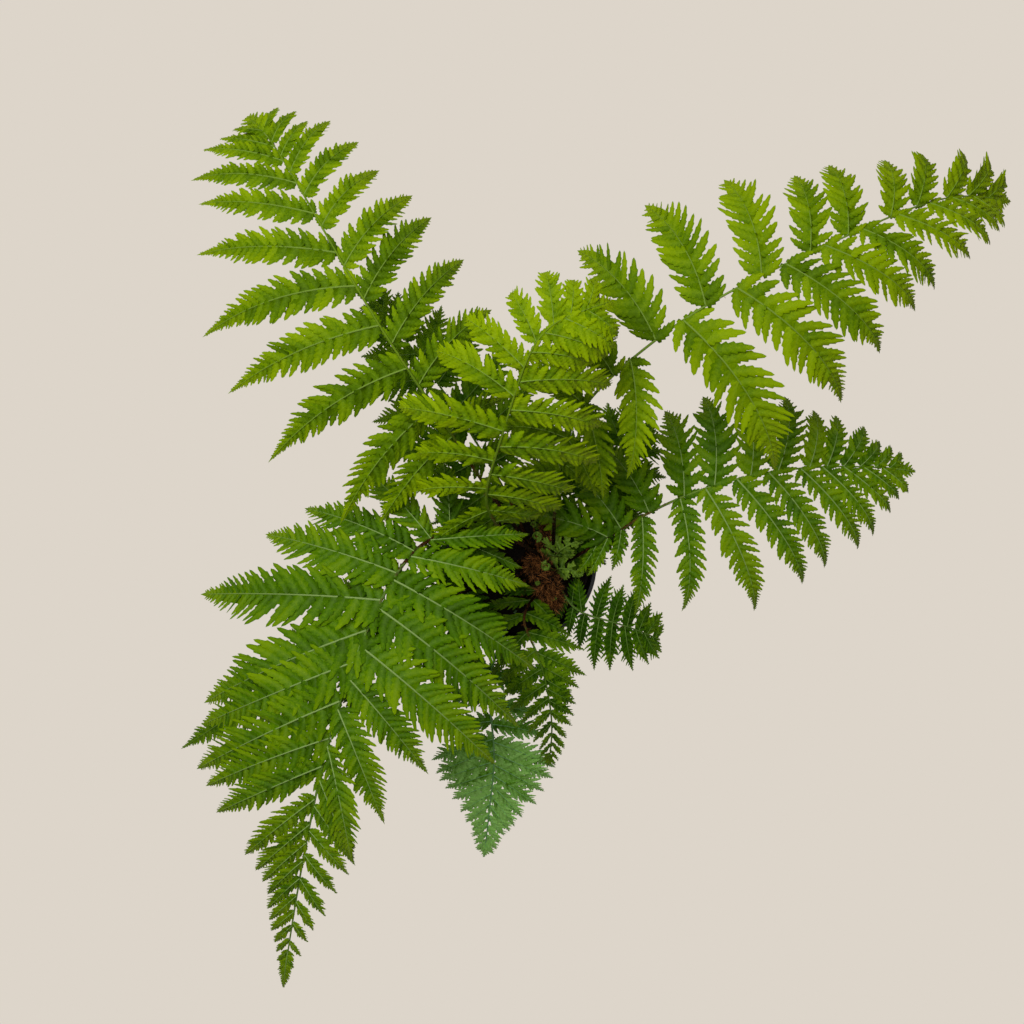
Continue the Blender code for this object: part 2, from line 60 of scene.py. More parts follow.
def linear(code):
    """An sRGB hex colour as the linear values that a shader takes."""
    parts = [int(code[i : i + 2], 16) / 255 for i in (1, 3, 5)]
    return tuple(p / 12.92 if p <= 0.04045 else ((p + 0.055) / 1.055) ** 2.4 for p in parts) + (1.0,)


def add(tree, kind, settings=None, links=None):
    """Adds a node to a shader: each setting names a property or an input, and each link names an input.

    A link comes from the output given, or from the first output of the node given."""
    made = tree.nodes.new("ShaderNode" + kind)
    for key, value in (settings or {}).items():
        if isinstance(key, str) and hasattr(made, key):
            setattr(made, key, value)
        else:
            made.inputs[key].default_value = value
    for key, source in (links or {}).items():
        output = source.outputs[0] if isinstance(source, bpy.types.Node) else source
        tree.links.new(output, made.inputs[key])
    return made


def new_material(name):
    """An empty material with its tree, its shader and the place on the piece that its patterns read."""
    material = bpy.data.materials.new(name)
    material.use_nodes = True
    tree = material.node_tree
    return material, tree, tree.nodes["Principled BSDF"], add(tree, "TexCoord").outputs["Object"]


bpy.ops.object.camera_add(location=CAMERA_PLACE, rotation=(0, 0, 0))
camera = bpy.context.object
camera.data.lens = CAMERA_LENS
camera.data.sensor_width = CAMERA_SENSOR
camera.data.clip_start = CAMERA_NEAREST
bpy.context.scene.camera = camera
bpy.context.scene.view_settings.view_transform = "Standard"

bpy.ops.mesh.primitive_plane_add(size=FLOOR_SIZE, location=(0, 0, -FLOOR_DROP))
floor = bpy.context.object
floor.name = "floor"
# A sheet of studio paper, lit so evenly that it shows one flat tone.
backdrop = bpy.data.materials.new("paper_backdrop")
backdrop.use_nodes = True
backdrop.node_tree.nodes.clear()
paper = add(backdrop.node_tree, "Emission", {"Color": linear(FLOOR_COLOUR), "Strength": 1.0})
add(backdrop.node_tree, "OutputMaterial", {}, {"Surface": paper})
floor.data.materials.append(backdrop)
floor.visible_diffuse = False

bpy.ops.object.light_add(type="AREA", location=PANEL_PLACE)
panel = bpy.context.object
panel.data.shape = "SQUARE"
panel.data.size = PANEL_SIZE
panel.data.energy = PANEL_POWER
panel.rotation_euler = Vector(PANEL_PLACE).to_track_quat("Z", "Y").to_euler()

world = bpy.data.worlds.new("studio_glow")
world.use_nodes = True
ray = add(world.node_tree, "LightPath")
strength = add(
    world.node_tree, "MapRange", {"To Min": GLOW, "To Max": 1.0}, {"Value": ray.outputs["Is Camera Ray"]}
)
glow = world.node_tree.nodes["Background"]
glow.inputs["Color"].default_value = linear(FLOOR_COLOUR)
world.node_tree.links.new(strength.outputs[0], glow.inputs["Strength"])
bpy.context.scene.world = world

# The pot: black polypropylene, injection moulded with a stiff rim band and a step inside. Five holes in its
# floor let the water out.
POT_SIDES = 96
POT_BASE_RADIUS = 61 * MM
POT_RIM_RADIUS = 85 * MM
POT_HEIGHT = 150 * MM
POT_WALL = 1.8 * MM
POT_CREASE = math.radians(32)
RIM_BAND = 12 * MM
RIM_STEP = 3.2 * MM
DRAIN_HOLES = 5
DRAIN_CIRCLE = 44 * MM
DRAIN_RADIUS = 5 * MM
DRAIN_SIDES = 24
DRAIN_START = 0.3
DRILL_LENGTH = 9 * MM


def wall_radius(height):
    """The outer radius of the pot's plain wall at a height."""
    return POT_BASE_RADIUS + (POT_RIM_RADIUS - RIM_STEP - POT_BASE_RADIUS) * height / POT_HEIGHT


def keep_place(piece):
    """Applies a piece's place, turn and size, so that its object sits at the origin."""
    bpy.ops.object.select_all(action="DESELECT")
    piece.select_set(True)
    bpy.context.view_layer.objects.active = piece
    bpy.ops.object.transform_apply(location=True, rotation=True, scale=True)


def turned_pot():
    """The wall drawn up ring by ring from a disc, over the rim and down the inside to the floor.

    Each ring is a radius and a height. The small steps between rings ease the edges."""
    band = POT_HEIGHT - RIM_BAND
    rings = [
        (POT_BASE_RADIUS - 0.5 * MM, 0.4 * MM),
        (POT_BASE_RADIUS, 1.5 * MM),
        (wall_radius(0.3 * band), 0.3 * band),
        (wall_radius(0.7 * band), 0.7 * band),
        (wall_radius(band), band),
        (POT_RIM_RADIUS - 0.8 * MM, band + 0.6 * MM),
        (POT_RIM_RADIUS, band + 1.8 * MM),
        (POT_RIM_RADIUS, POT_HEIGHT - 1.4 * MM),
        (POT_RIM_RADIUS - 0.4 * MM, POT_HEIGHT - 0.4 * MM),
        (POT_RIM_RADIUS - 1.0 * MM, POT_HEIGHT),
        (wall_radius(POT_HEIGHT) - POT_WALL + 1.0 * MM, POT_HEIGHT),
        (wall_radius(POT_HEIGHT) - POT_WALL, POT_HEIGHT - 1.2 * MM),
        (wall_radius(band) - POT_WALL - 0.6 * MM, band - 4 * MM),
        (wall_radius(0.5 * band) - POT_WALL, 0.5 * band),
        (wall_radius(POT_WALL) - POT_WALL, 2 * POT_WALL),
        (wall_radius(POT_WALL) - 2 * POT_WALL, POT_WALL),
    ]
    radius, height = POT_BASE_RADIUS - 1.5 * MM, 0.0
    bpy.ops.mesh.primitive_circle_add(
        vertices=POT_SIDES, radius=radius, fill_type="NGON", location=(0, 0, 0)
    )
    body = bpy.context.object
    bpy.ops.object.mode_set(mode="EDIT")
    bpy.ops.mesh.select_all(action="SELECT")
    for next_radius, next_height in rings:
        rise = (0, 0, next_height - height)
        bpy.ops.mesh.extrude_region_move(TRANSFORM_OT_translate={"value": rise})
        scale = next_radius / radius
        bpy.ops.transform.resize(value=(scale, scale, 1), center_override=(0, 0, 0))
        radius, height = next_radius, next_height
    bpy.ops.mesh.select_all(action="SELECT")
    bpy.ops.mesh.normals_make_consistent(inside=False)
    bpy.ops.object.mode_set(mode="OBJECT")
    for k in range(DRAIN_HOLES):
        turn = math.tau * (k + DRAIN_START) / DRAIN_HOLES
        place = (DRAIN_CIRCLE * math.cos(turn), DRAIN_CIRCLE * math.sin(turn), 0)
        bpy.ops.mesh.primitive_cylinder_add(
            vertices=DRAIN_SIDES, radius=DRAIN_RADIUS, depth=DRILL_LENGTH, location=place
        )
        drill = bpy.context.object
        hole = body.modifiers.new("Drain", "BOOLEAN")
        hole.object = drill
        hole.operation = "DIFFERENCE"
        bpy.context.view_layer.objects.active = body
        bpy.ops.object.modifier_apply(modifier=hole.name)
        bpy.data.objects.remove(drill, do_unlink=True)
    keep_place(body)
    bpy.ops.object.shade_smooth_by_angle(angle=POT_CREASE)
    return body


def moulded_plastic():
    """Black polypropylene as moulded: a dull satin skin with a faint grain, and a little dust in patches.

    The grain is 1.1 mm wide, coarser than real so that it shows, and the dust patches are 36 mm wide."""
    material, tree, shader, place = new_material("black_polypropylene_moulded")
    grain = add(tree, "TexNoise", {"Scale": 900.0, "Detail": 2.0}, {"Vector": place})
    dust = add(tree, "TexNoise", {"Scale": 28.0, "Detail": 4.0}, {"Vector": place})
    shades = {"data_type": "RGBA", 6: linear("#060706"), 7: linear("#10110F")}
    colour = add(tree, "Mix", shades, {"Factor": dust})
    tree.links.new(colour.outputs[2], shader.inputs["Base Color"])
    bump = add(tree, "Bump", {"Strength": 0.12, "Distance": 0.2 * MM}, {"Height": grain})
    tree.links.new(bump.outputs[0], shader.inputs["Normal"])
    shader.inputs["Roughness"].default_value = 0.48
    shader.inputs["IOR"].default_value = 1.49
    return material


pot = turned_pot()
pot.name = "pot_moulded"
pot.data.materials.append(moulded_plastic())
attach(pot, "root")
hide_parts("pot")

# The soil: peat with bark crumbs and grit, pressed around the crown, nearly up to the rim band.
SOIL_TOP = 134 * MM
SOIL_FOOT = 100 * MM
SOIL_GAP = 0.5 * MM
SOIL_LUMP = 1.6 * MM
LUMP_WAVES = (7.3, 6.1)
SOIL_ROUGHNESS = 0.7
SOIL_RINGS = 26
MIDDLE_DISC = 0.4
CRUMBS = 900
CRUMB_SIZES = ((1.0, 3.4), (0.8, 2.0), (0.5, 1.1))
CRUMB_TILT = 0.5
CRUMB_MARGIN = 4 * MM


def soil_height(x, y):
    """The lumpy height of the soil, the same as in the frame."""
    return SOIL_TOP + SOIL_LUMP * math.sin(x / MM / LUMP_WAVES[0]) * math.cos(y / MM / LUMP_WAVES[1])


def filled_soil():
    """A disc of soil with a lumpy top, and bark crumbs that lie half sunk in it."""
    edge = wall_radius(SOIL_TOP) - POT_WALL - SOIL_GAP
    low_edge = wall_radius(SOIL_FOOT) - POT_WALL - SOIL_GAP
    middle = (SOIL_TOP + SOIL_FOOT) / 2
    bpy.ops.mesh.primitive_cylinder_add(
        vertices=POT_SIDES, radius=edge, depth=SOIL_TOP - SOIL_FOOT, location=(0, 0, middle)
    )
    body = bpy.context.object
    keep_place(body)
    for vertex in body.data.vertices:
        if vertex.co.z < middle:
            vertex.co.x *= low_edge / edge
            vertex.co.y *= low_edge / edge
    bpy.ops.object.mode_set(mode="EDIT")
    bpy.ops.mesh.select_all(action="DESELECT")
    bpy.ops.object.mode_set(mode="OBJECT")
    for face in body.data.polygons:
        face.select = face.normal.z > 0.9
    bpy.ops.object.mode_set(mode="EDIT")
    for ring in range(SOIL_RINGS):
        left = 1 - (ring + 1) / (SOIL_RINGS + MIDDLE_DISC)
        before = 1 - ring / (SOIL_RINGS + MIDDLE_DISC)
        bpy.ops.mesh.inset(thickness=edge * (before - left), depth=0)
    bpy.ops.object.mode_set(mode="OBJECT")
    draw = random.Random(11)
    for vertex in body.data.vertices:
        if vertex.co.z > SOIL_TOP - 1 * MM:
            rough = draw.uniform(-SOIL_ROUGHNESS, SOIL_ROUGHNESS) * MM
            vertex.co.z = soil_height(vertex.co.x, vertex.co.y) + rough
    bpy.ops.mesh.primitive_ico_sphere_add(subdivisions=1, radius=1)
    crumb = bpy.context.object
    form = [vertex.co.copy() for vertex in crumb.data.vertices]
    sides = [tuple(face.vertices) for face in crumb.data.polygons]
    bpy.data.objects.remove(crumb, do_unlink=True)
    points, faces = [], []
    for _ in range(CRUMBS):
        away, turn = (edge - CRUMB_MARGIN) * math.sqrt(draw.random()), draw.uniform(0, math.tau)
        x, y = away * math.cos(turn), away * math.sin(turn)
        size = Vector([draw.uniform(*span) for span in CRUMB_SIZES]) * MM
        spin = Matrix.Rotation(draw.uniform(0, math.tau), 3, "Z")
        spin = spin @ Matrix.Rotation(draw.uniform(-CRUMB_TILT, CRUMB_TILT), 3, "X")
        first = len(points)
        for corner in form:
            lump = Vector(a * b * draw.uniform(0.7, 1.2) for a, b in zip(corner, size))
            points.append(spin @ lump + Vector((x, y, soil_height(x, y))))
        faces += [tuple(first + k for k in side) for side in sides]
    mesh = bpy.data.meshes.new("crumbs")
    mesh.from_pydata(points, [], faces)
    crumbs = bpy.data.objects.new("crumbs", mesh)
    bpy.context.scene.collection.objects.link(crumbs)
    bpy.ops.object.select_all(action="DESELECT")
    body.select_set(True)
    crumbs.select_set(True)
    bpy.context.view_layer.objects.active = body
    bpy.ops.object.join()
    return body


def peat():
    """Moist peat with bark: near black and matt, with crumbs 2.4 mm wide, browner in dry patches of 17 mm."""
    material, tree, shader, place = new_material("moist_peat_and_bark")
    crumb = add(tree, "TexVoronoi", {"Scale": 420.0}, {"Vector": place})
    damp = add(tree, "TexNoise", {"Scale": 60.0, "Detail": 5.0}, {"Vector": place})
    shades = {"data_type": "RGBA", 6: linear("#0E0A07"), 7: linear("#2E2015")}
    colour = add(tree, "Mix", shades, {"Factor": damp})
    tree.links.new(colour.outputs[2], shader.inputs["Base Color"])
    bump = add(tree, "Bump", {"Strength": 0.6, "Distance": 1 * MM}, {"Height": crumb})
    tree.links.new(bump.outputs[0], shader.inputs["Normal"])
    shader.inputs["Roughness"].default_value = 0.92
    return material


soil = filled_soil()
soil.name = "soil_filling"
soil.data.materials.append(peat())
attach(soil, "root")
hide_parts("soil")

# The fronds: each has a stalk, scaly and brown at its foot and green towards its tip, with leaflets in pairs.
# Each leaflet has a pale rib and two rows of toothed blades, which run together towards the leaflet's tip.
CROWN_CENTRE = Vector((27, -5, 0)) * MM
STALK_ROOT = 147 * MM
ROOT_PULL = 0.9
STALK_STEPS = 112
STALK_SIDES = 8
TIP_RADIUS = 0.7 * MM
STALK_TAPER = 0.36
STALK_SCALES, SCALES_PER_MM = 60, 40

# Each frond: its route in mm from the crown to the tip, the radius of its stalk at the crown in mm, how broad
# its leaflets are (full), how many small leaflets stand before the first ones on the left and right (basal),
# how far apart its blades stand and how broad they are (coarse). Some fronds state more: how much lighter
# they get towards the tip, partly paler leaf and partly painted light on the drooping end (rise), how early
# the stalk turns green (pale), how far the leaflets bow towards the tip (sweep), how high they sit on the
# stalk (over), how much more of the blades runs together near the tip (fused), how fast the last leaflets
# shorten (taper), where the leaflet at the tip starts and how broad it is (apex, end), the radius in mm of a
# coil at the tip, and buds beside it, each a place, radius and foot.
# Each side: where its leaflets stand along the route (at), their reach in mm, their angle to the stalk in
# degrees, how far they drop for each mm of reach, how much their tips nod, their breadth at the crown and at
# the tip (wide), and how blunt they end. A hidden frond has both sides alike: reach and angle are given at
# the first pair, each quarter of the way and the tip, and it states the share of the route without leaflets
# (bare), the number of pairs, and how much they close up towards the tip (closing).
FRONDS = {
    "frond_upper_left": dict(
        route=((17, 14, 170), (-20, 62, 300), (-70, 137, 405), (-136, 238, 475), (-198, 345, 478),
               (-242, 416, 440), (-263, 442, 408)),
        radius=3.6, full=1.05, basal=(1, 1), coarse=(1.0, 1.1),
        sweep=0.20, fused=0.4, end=0.6,
        left=dict(
            at=(0.48, 0.55, 0.62, 0.68, 0.73, 0.79, 0.84, 0.88, 0.91, 0.95),
            reach=(145, 165, 160, 155, 135, 115, 105, 80, 55, 30),
            angle=(105, 90, 83, 74, 62, 57, 53, 47, 46, 48),
            drop=0.3, nod=0.0, wide=(1.3, 0.72),
        ),
        right=dict(
            at=(0.43, 0.52, 0.59, 0.66, 0.71, 0.77, 0.82, 0.86, 0.89, 0.92),
            reach=(60, 105, 108, 106, 96, 80, 74, 65, 45, 40),
            angle=(87, 76, 70, 67, 68, 67, 67, 62, 66, 64),
            drop=0.6, nod=0.0, wide=(1.3, 0.85), blunt=0.6,
        ),
    ),
    "frond_centre": dict(
        route=((26, 8, 173), (-19, 40, 300), (-34, 75, 390), (-21, 121, 465), (-2, 178, 525),
               (28, 225, 555), (58, 239, 548), (78, 247, 530)),
        radius=3.4, full=1.26, basal=(0, 1), coarse=(0.92, 1.2),
        rise=0.32, sweep=0.15,
        left=dict(
            at=(0.40, 0.49, 0.58, 0.66, 0.74, 0.80, 0.85, 0.89, 0.92, 0.95),
            reach=(62, 68, 76, 102, 82, 68, 52, 48, 32, 28),
            angle=(104, 102, 101, 98, 76, 73, 64, 66, 61, 57),
            drop=0.12, nod=0.1, blunt=0.7,
        ),
        right=dict(
            at=(0.40, 0.47, 0.54, 0.62, 0.71, 0.77, 0.83, 0.87, 0.91, 0.95),
            reach=(50, 72, 80, 95, 88, 84, 58, 60, 52, 36),
            angle=(118, 96, 87, 79, 82, 73, 68, 64, 54, 55),
            drop=0.4, nod=0.1, blunt=0.9,
        ),
    ),
    "frond_upper_right": dict(
        route=((35, 13, 168), (37, 81, 285), (57, 154, 365), (105, 204, 425), (175, 253, 465),
               (243, 288, 475), (326, 327, 458), (420, 364, 405), (493, 370, 340)),
        radius=3.0, full=1.2, basal=(0, 0), coarse=(0.95, 1.08),
        pale=1.0, rise=0.5, sweep=0.22, over=1.4, fused=0.1,
        left=dict(
            at=(0.16, 0.22, 0.28, 0.34, 0.40, 0.47, 0.54, 0.61, 0.67, 0.72, 0.78, 0.82, 0.87, 0.91),
            reach=(38, 60, 72, 80, 95, 117, 118, 103, 80, 74, 58, 56, 54, 46),
            angle=(112, 106, 100, 96, 92, 88, 86, 80, 70, 74, 64, 56, 48, 44),
            drop=0.5, nod=0.04, wide=(1.1, 1.4), blunt=0.6,
        ),
        right=dict(
            at=(0.24, 0.28, 0.34, 0.43, 0.51, 0.58, 0.64, 0.69, 0.74, 0.79, 0.84, 0.88),
            reach=(36, 66, 92, 112, 170, 154, 127, 110, 92, 88, 76, 60),
            angle=(124, 134, 136, 128, 88, 69, 64, 56, 56, 52, 46, 42),
            drop=0.35, nod=0.12, wide=(1.3, 1.0),
        ),
    ),
    "frond_right": dict(
        route=((44, 1, 164), (77, 21, 225), (120, 49, 260), (166, 73, 288), (235, 95, 303), (319, 105, 292),
               (417, 102, 250)),
        radius=3.0, full=1.02, basal=(0, 1), coarse=(1.02, 1.05),
        sweep=0.20, over=1.2, fused=0.25,
        left=dict(
            at=(0.24, 0.28, 0.36, 0.45, 0.52, 0.60, 0.66, 0.73, 0.77, 0.81, 0.85),
            reach=(86, 72, 80, 92, 94, 78, 80, 62, 56, 50, 36),
            angle=(129, 97, 92, 79, 75, 80, 72, 76, 74, 60, 48),
            drop=0.45, nod=0.1, wide=(2.1, 1.0), blunt=0.4,
        ),
        right=dict(
            at=(0.24, 0.28, 0.34, 0.44, 0.50, 0.57, 0.64, 0.71, 0.76, 0.81, 0.86),
            reach=(46, 44, 107, 121, 143, 134, 118, 110, 92, 72, 54),
            angle=(154, 136, 126, 107, 88, 71, 65, 55, 50, 43, 36),
            drop=0.3, nod=0.15, wide=(1.0, 0.85),
        ),
    ),
    "frond_lower_left": dict(
        route=((4, 0, 168), (-38, 20, 285), (-84, 33, 345), (-114, 9, 382), (-147, -51, 412),
               (-175, -124, 412), (-203, -222, 370), (-226, -318, 312), (-254, -450, 225)),
        radius=4.0, full=1.08, basal=(1, 2), coarse=(0.84, 1.12),
        over=0.8, rise=0.5, fused=0.15, taper=1.3, end=0.13,
        left=dict(
            at=(0.29, 0.33, 0.37, 0.41, 0.46, 0.50, 0.54, 0.59, 0.64, 0.68, 0.72, 0.76, 0.80),
            reach=(101, 122, 171, 190, 179, 125, 128, 122, 96, 76, 62, 54, 48),
            angle=(156, 114, 88, 76, 68, 58, 36, 28, 34, 44, 50, 46, 40),
            drop=0.3, nod=0.05, wide=(1.35, 0.8),
        ),
        right=dict(
            at=(0.32, 0.36, 0.40, 0.44, 0.48, 0.53, 0.58, 0.62, 0.67, 0.71, 0.74, 0.77, 0.80),
            reach=(121, 140, 185, 186, 174, 170, 140, 126, 99, 80, 66, 56, 50),
            angle=(68, 71, 63, 42, 45, 45, 50, 46, 37, 32, 32, 34, 34),
            drop=0.35, nod=0.05, wide=(1.55, 0.75), blunt=0.35,
        ),
    ),
    "frond_front_low": dict(
        route=((12, -25, 160), (-13, -62, 205), (-32, -123, 205), (-29, -198, 168), (-33, -266, 120),
               (-41, -341, 62)),
        radius=2.6, full=1.12, basal=(1, 1), coarse=(1.05, 1.0),
        rise=1.0, fused=0.0, pale=0.8,
        left=dict(
            at=(0.34, 0.42, 0.49, 0.55, 0.59, 0.63, 0.67, 0.71, 0.75, 0.79, 0.83),
            reach=(58, 56, 60, 76, 72, 66, 60, 52, 46, 38, 30),
            angle=(78, 70, 72, 64, 62, 60, 56, 50, 46, 42, 38),
            drop=0.30, nod=0.1, wide=(1.1, 1.1),
        ),
        right=dict(
            at=(0.33, 0.41, 0.48, 0.54, 0.58, 0.62, 0.66, 0.70, 0.74, 0.78, 0.82),
            reach=(52, 50, 60, 74, 72, 66, 58, 50, 42, 36, 28),
            angle=(95, 93, 82, 74, 70, 66, 62, 56, 50, 44, 38),
            drop=0.30, nod=0.1, wide=(1.1, 1.1),
        ),
    ),
    "frond_front": dict(
        route=((24, -25, 164), (4, -57, 222), (17, -90, 248), (29, -133, 240), (34, -177, 208),
               (31, -221, 165)),
        radius=2.4, full=1.0, basal=(2, 2), coarse=(1.0, 1.08),
        rise=0.35,
        left=dict(
            at=(0.26, 0.36, 0.45, 0.50, 0.55, 0.59, 0.64, 0.69, 0.75, 0.81),
            reach=(58, 66, 60, 48, 38, 36, 32, 28, 24, 22),
            angle=(79, 50, 38, 40, 42, 46, 46, 44, 38, 38),
            drop=0.40, nod=0.05, wide=(1.1, 0.95),
        ),
        right=dict(
            at=(0.18, 0.27, 0.36, 0.44, 0.51, 0.57, 0.63, 0.69, 0.75, 0.81),
            reach=(62, 66, 64, 58, 56, 50, 42, 36, 30, 24),
            angle=(40, 50, 62, 70, 68, 62, 58, 54, 46, 36),
            drop=0.35, nod=0.05, wide=(1.0, 0.7),
        ),
    ),
    "frond_small_right": dict(
        route=((42, -20, 158), (58, -45, 180), (91, -59, 188), (122, -69, 176), (156, -84, 145)),
        radius=2.2, full=1.15, basal=(1, 1), coarse=(1.05, 0.75),
        rise=0.5, fused=0.2, pale=0.8,
        left=dict(
            at=(0.36, 0.46, 0.57, 0.68, 0.78, 0.86),
            reach=(39, 49, 42, 42, 34, 30),
            angle=(121, 88, 90, 92, 86, 78),
            drop=0.30, nod=0.0, wide=(0.6, 1.3),
        ),
        right=dict(
            at=(0.29, 0.38, 0.48, 0.57, 0.66, 0.75, 0.83),
            reach=(36, 42, 58, 54, 52, 42, 34),
            angle=(54, 74, 80, 72, 58, 44, 36),
            drop=0.40, nod=0.0, wide=(0.6, 1.2),
        ),
    ),
    "frond_under_right": dict(
        route=((44, 13, 160), (64, 50, 198), (86, 95, 210), (110, 131, 196), (135, 162, 164)),
        radius=2.3, full=1.5, basal=(1, 2), coarse=(0.95, 1.12),
        bare=0.32, pairs=8, closing=1.4,
        both=dict(reach=(62, 76, 66, 40, 10), angle=(95, 82, 66, 50, 40), drop=0.35),
    ),
    "frond_under_left": dict(
        route=((5, -13, 160), (-41, -21, 222), (-106, -50, 240), (-171, -91, 232), (-238, -119, 205),
               (-302, -155, 168), (-382, -209, 115)),
        radius=2.8, full=1.35, basal=(1, 1),
        apex=0.76, end=0.16, bare=0.26, pairs=13, closing=1.4,
        both=dict(reach=(80, 76, 42, 34, 8), angle=(98, 80, 54, 38, 28), drop=0.35, wide=(1.2, 0.7)),
    ),
    "frond_under_top": dict(
        route=((12, 19, 160), (-9, 66, 245), (-47, 132, 298), (-85, 190, 315), (-124, 242, 305),
               (-156, 281, 280)),
        radius=2.8, full=1.4, basal=(2, 0),
        bare=0.34, pairs=10, closing=1.5,
        both=dict(reach=(84, 96, 84, 48, 12), angle=(95, 82, 66, 50, 40), drop=0.35),
    ),
    "young_frond_upper": dict(
        route=((36, 1, 166), (39, 11, 194), (47, 20, 216), (60, 27, 219)),
        radius=1.8, full=1.5, basal=(1, 1), coarse=(1.3, 1.0),
        coil=4.8, buds=(((18, 32, 196), 5.2, (21, 8, 160)), ((14, 45, 190), 3.2, (20, 12, 160))),
        left=dict(at=(0.52, 0.64, 0.76, 0.87), reach=(18, 22, 20, 12), angle=(88, 76, 70, 60), drop=0.10),
        right=dict(at=(0.46, 0.58, 0.70, 0.82), reach=(16, 20, 18, 12), angle=(92, 84, 72, 60), drop=0.25),
    ),
    "young_frond_lower": dict(
        route=((38, -9, 164), (40, -4, 188), (48, -3, 200), (60, -6, 196)),
        radius=1.6, full=1.5, basal=(1, 1), coarse=(1.3, 1.0),
        coil=5.0,
        left=dict(at=(0.45, 0.60, 0.74, 0.86), reach=(14, 17, 15, 10), angle=(88, 78, 68, 55), drop=0.10),
        right=dict(at=(0.40, 0.54, 0.68, 0.81), reach=(14, 17, 15, 10), angle=(92, 80, 70, 55), drop=0.20),
    ),
}

# Where leaflets stand along a route, as shares of it. Past the given list they follow closer and shorter,
# down to a reach of 5 mm, and small ones stand before the first. On a hidden frond the left ones stand ahead.
APEX, PAST_APEX, LAST_PAIR = 0.93, 0.025, 0.955
CLOSER, CLOSEST = 0.93, 0.015
TAPER, SHORTEST = 0.8, 5
BASAL_GAP, BASAL_REACH, BASAL_TURN, FIRST_PLACE = 0.85, (0.82, 0.66), 4, 0.07
LEFT_AHEAD = 0.3
# How much each leaflet differs from what is given in angle (degrees), reach, drop and tone, and how its half
# width grows with its reach, in mm. The leaflet at the tip is broad for its length, up to a limit.
TURN_SPAN, REACH_SPAN, DROP_SPAN, TONE_SPREAD = (-2, 2), (0.98, 1.02), (-0.05, 0.05), 0.07
HALF_WIDTH, WIDTH_GROWTH, FULL_REACH = 5, 0.11, 30
TIP_WIDTH, TIP_MOST = 0.30, 16 * MM
# A leaflet's rib: how it arches and sways for its reach, which leaflets count as short and long (mm), the
# rib's radius (mm) and how it thins out, and how pale it is at each corner of its section.
ARCH, SWAY_SPAN = 0.22, (-0.05, 0.05)
SHORT_LEAFLET, LONG_LEAFLET = 40, 95
RIB_STEPS, SHORT_RIB_STEPS, RIB_SIDES = 14, 9, 8
RIB_RADIUS, RIB_GROWTH, RIB_TAPER = 0.30, 0.0030, 0.7
RIB_PALENESS = (0.0, 0.0, 1.0, 1.0, 1.0, 0.0, 0.0, 0.3)
# How far the blades spread along a leaflet from its foot to its tip, how much of them a web joins and how
# deep it sags, and the angle at which they lean (degrees).
SPREAD_AT = (0.0, 0.1, 0.3, 0.5, 0.65, 0.8, 0.9, 1.0)
SPREAD = (0.88, 0.98, 1.0, 0.88, 0.62, 0.29, 0.12, 0.03)
BLUNT_SPREAD = (0.90, 1.0, 1.0, 0.97, 0.88, 0.62, 0.38, 0.03)
JOINED, MOST_JOINED, ALL_JOINED, JOINS_FROM = 0.24, 0.66, 0.9, 0.45
WEB_SAG = 0.16
LEAN_AT = (0.0, 0.3, 0.7, 1.0)
LEAN, LEAN_SPREAD = (82, 66, 54, 42), 4.0
# The blades: where the first stands on either hand (mm) and the last (share of the reach), the gap between
# them (mm), their size for that gap, and how they roll, rise, droop, hook forwards and get lighter towards
# the leaflet's tip, partly paler leaf and partly painted light, with much more painted light on its drooping
# end.
FIRST_BLADE, FIRST_BEHIND, BLADES_END = 2.2, 0.8, 0.96
BLADE_GAP, GAP_GROWTH, GAP_SPAN = 2.3, 0.30, (0.90, 1.10)
BLADE_HALF, HALF_SPAN = 0.60, (0.90, 1.12)
LEAST_BLADE, LENGTH_SPAN = 1.8 * MM, (0.88, 1.08)
ROLL_SPREAD, PITCH, PITCH_SPREAD = 0.22, 0.06, 0.09
DROOP_SPAN, HOOK_SPAN = (0.08, 0.22), (0.24, 0.44)
SHADE_SPREAD, SHADE_RISE, TIP_FROM, TIP_PAINTED_LIGHT = 0.11, 0.22, 0.8, 3.0
# The three finenesses of a blade, with the length from which each is used, its teeth on a side and its sides.
BLADE_FORMS = {"fine": (13 * MM, 5, 6), "middle": (7 * MM, 4, 6), "plain": (0, 3, 4)}
# Faces that meet more sharply than this show an edge.
LEAF_CREASE = math.radians(70)
UP = Vector((0, 0, 1))


def smooth_route(points, steps):
    """Points and directions along a natural cubic spline through the given points, evenly spaced."""
    points = np.array(points, float)
    gaps = np.linalg.norm(np.diff(points, axis=0), axis=1)
    knots = np.concatenate([[0], np.cumsum(gaps)])
    count = len(points)
    system = np.eye(count)
    right_side = np.zeros_like(points)
    for i in range(1, count - 1):
        system[i, i - 1 : i + 2] = gaps[i - 1], 2 * (gaps[i - 1] + gaps[i]), gaps[i]
        rise = (points[i + 1] - points[i]) / gaps[i]
        right_side[i] = 6 * (rise - (points[i] - points[i - 1]) / gaps[i - 1])
    bend = np.linalg.solve(system, right_side)

    def at(distance):
        i = min(max(np.searchsorted(knots, distance) - 1, 0), count - 2)
        before, after, width = distance - knots[i], knots[i + 1] - distance, gaps[i]
        straight = (points[i] / width - bend[i] * width / 6) * after
        straight += (points[i + 1] / width - bend[i + 1] * width / 6) * before
        return straight + (bend[i] * after**3 + bend[i + 1] * before**3) / (6 * width)

    fine = np.array([at(d) for d in np.linspace(0, knots[-1], 8 * steps + 1)])
    lengths = np.concatenate([[0], np.cumsum(np.linalg.norm(np.diff(fine, axis=0), axis=1))])
    even = np.linspace(0, lengths[-1], steps + 1)
    route = np.stack([np.interp(even, lengths, fine[:, axis]) for axis in range(3)], axis=1)
    directions = np.gradient(route, axis=0)
    directions /= np.linalg.norm(directions, axis=1)[:, None]
    return route, directions


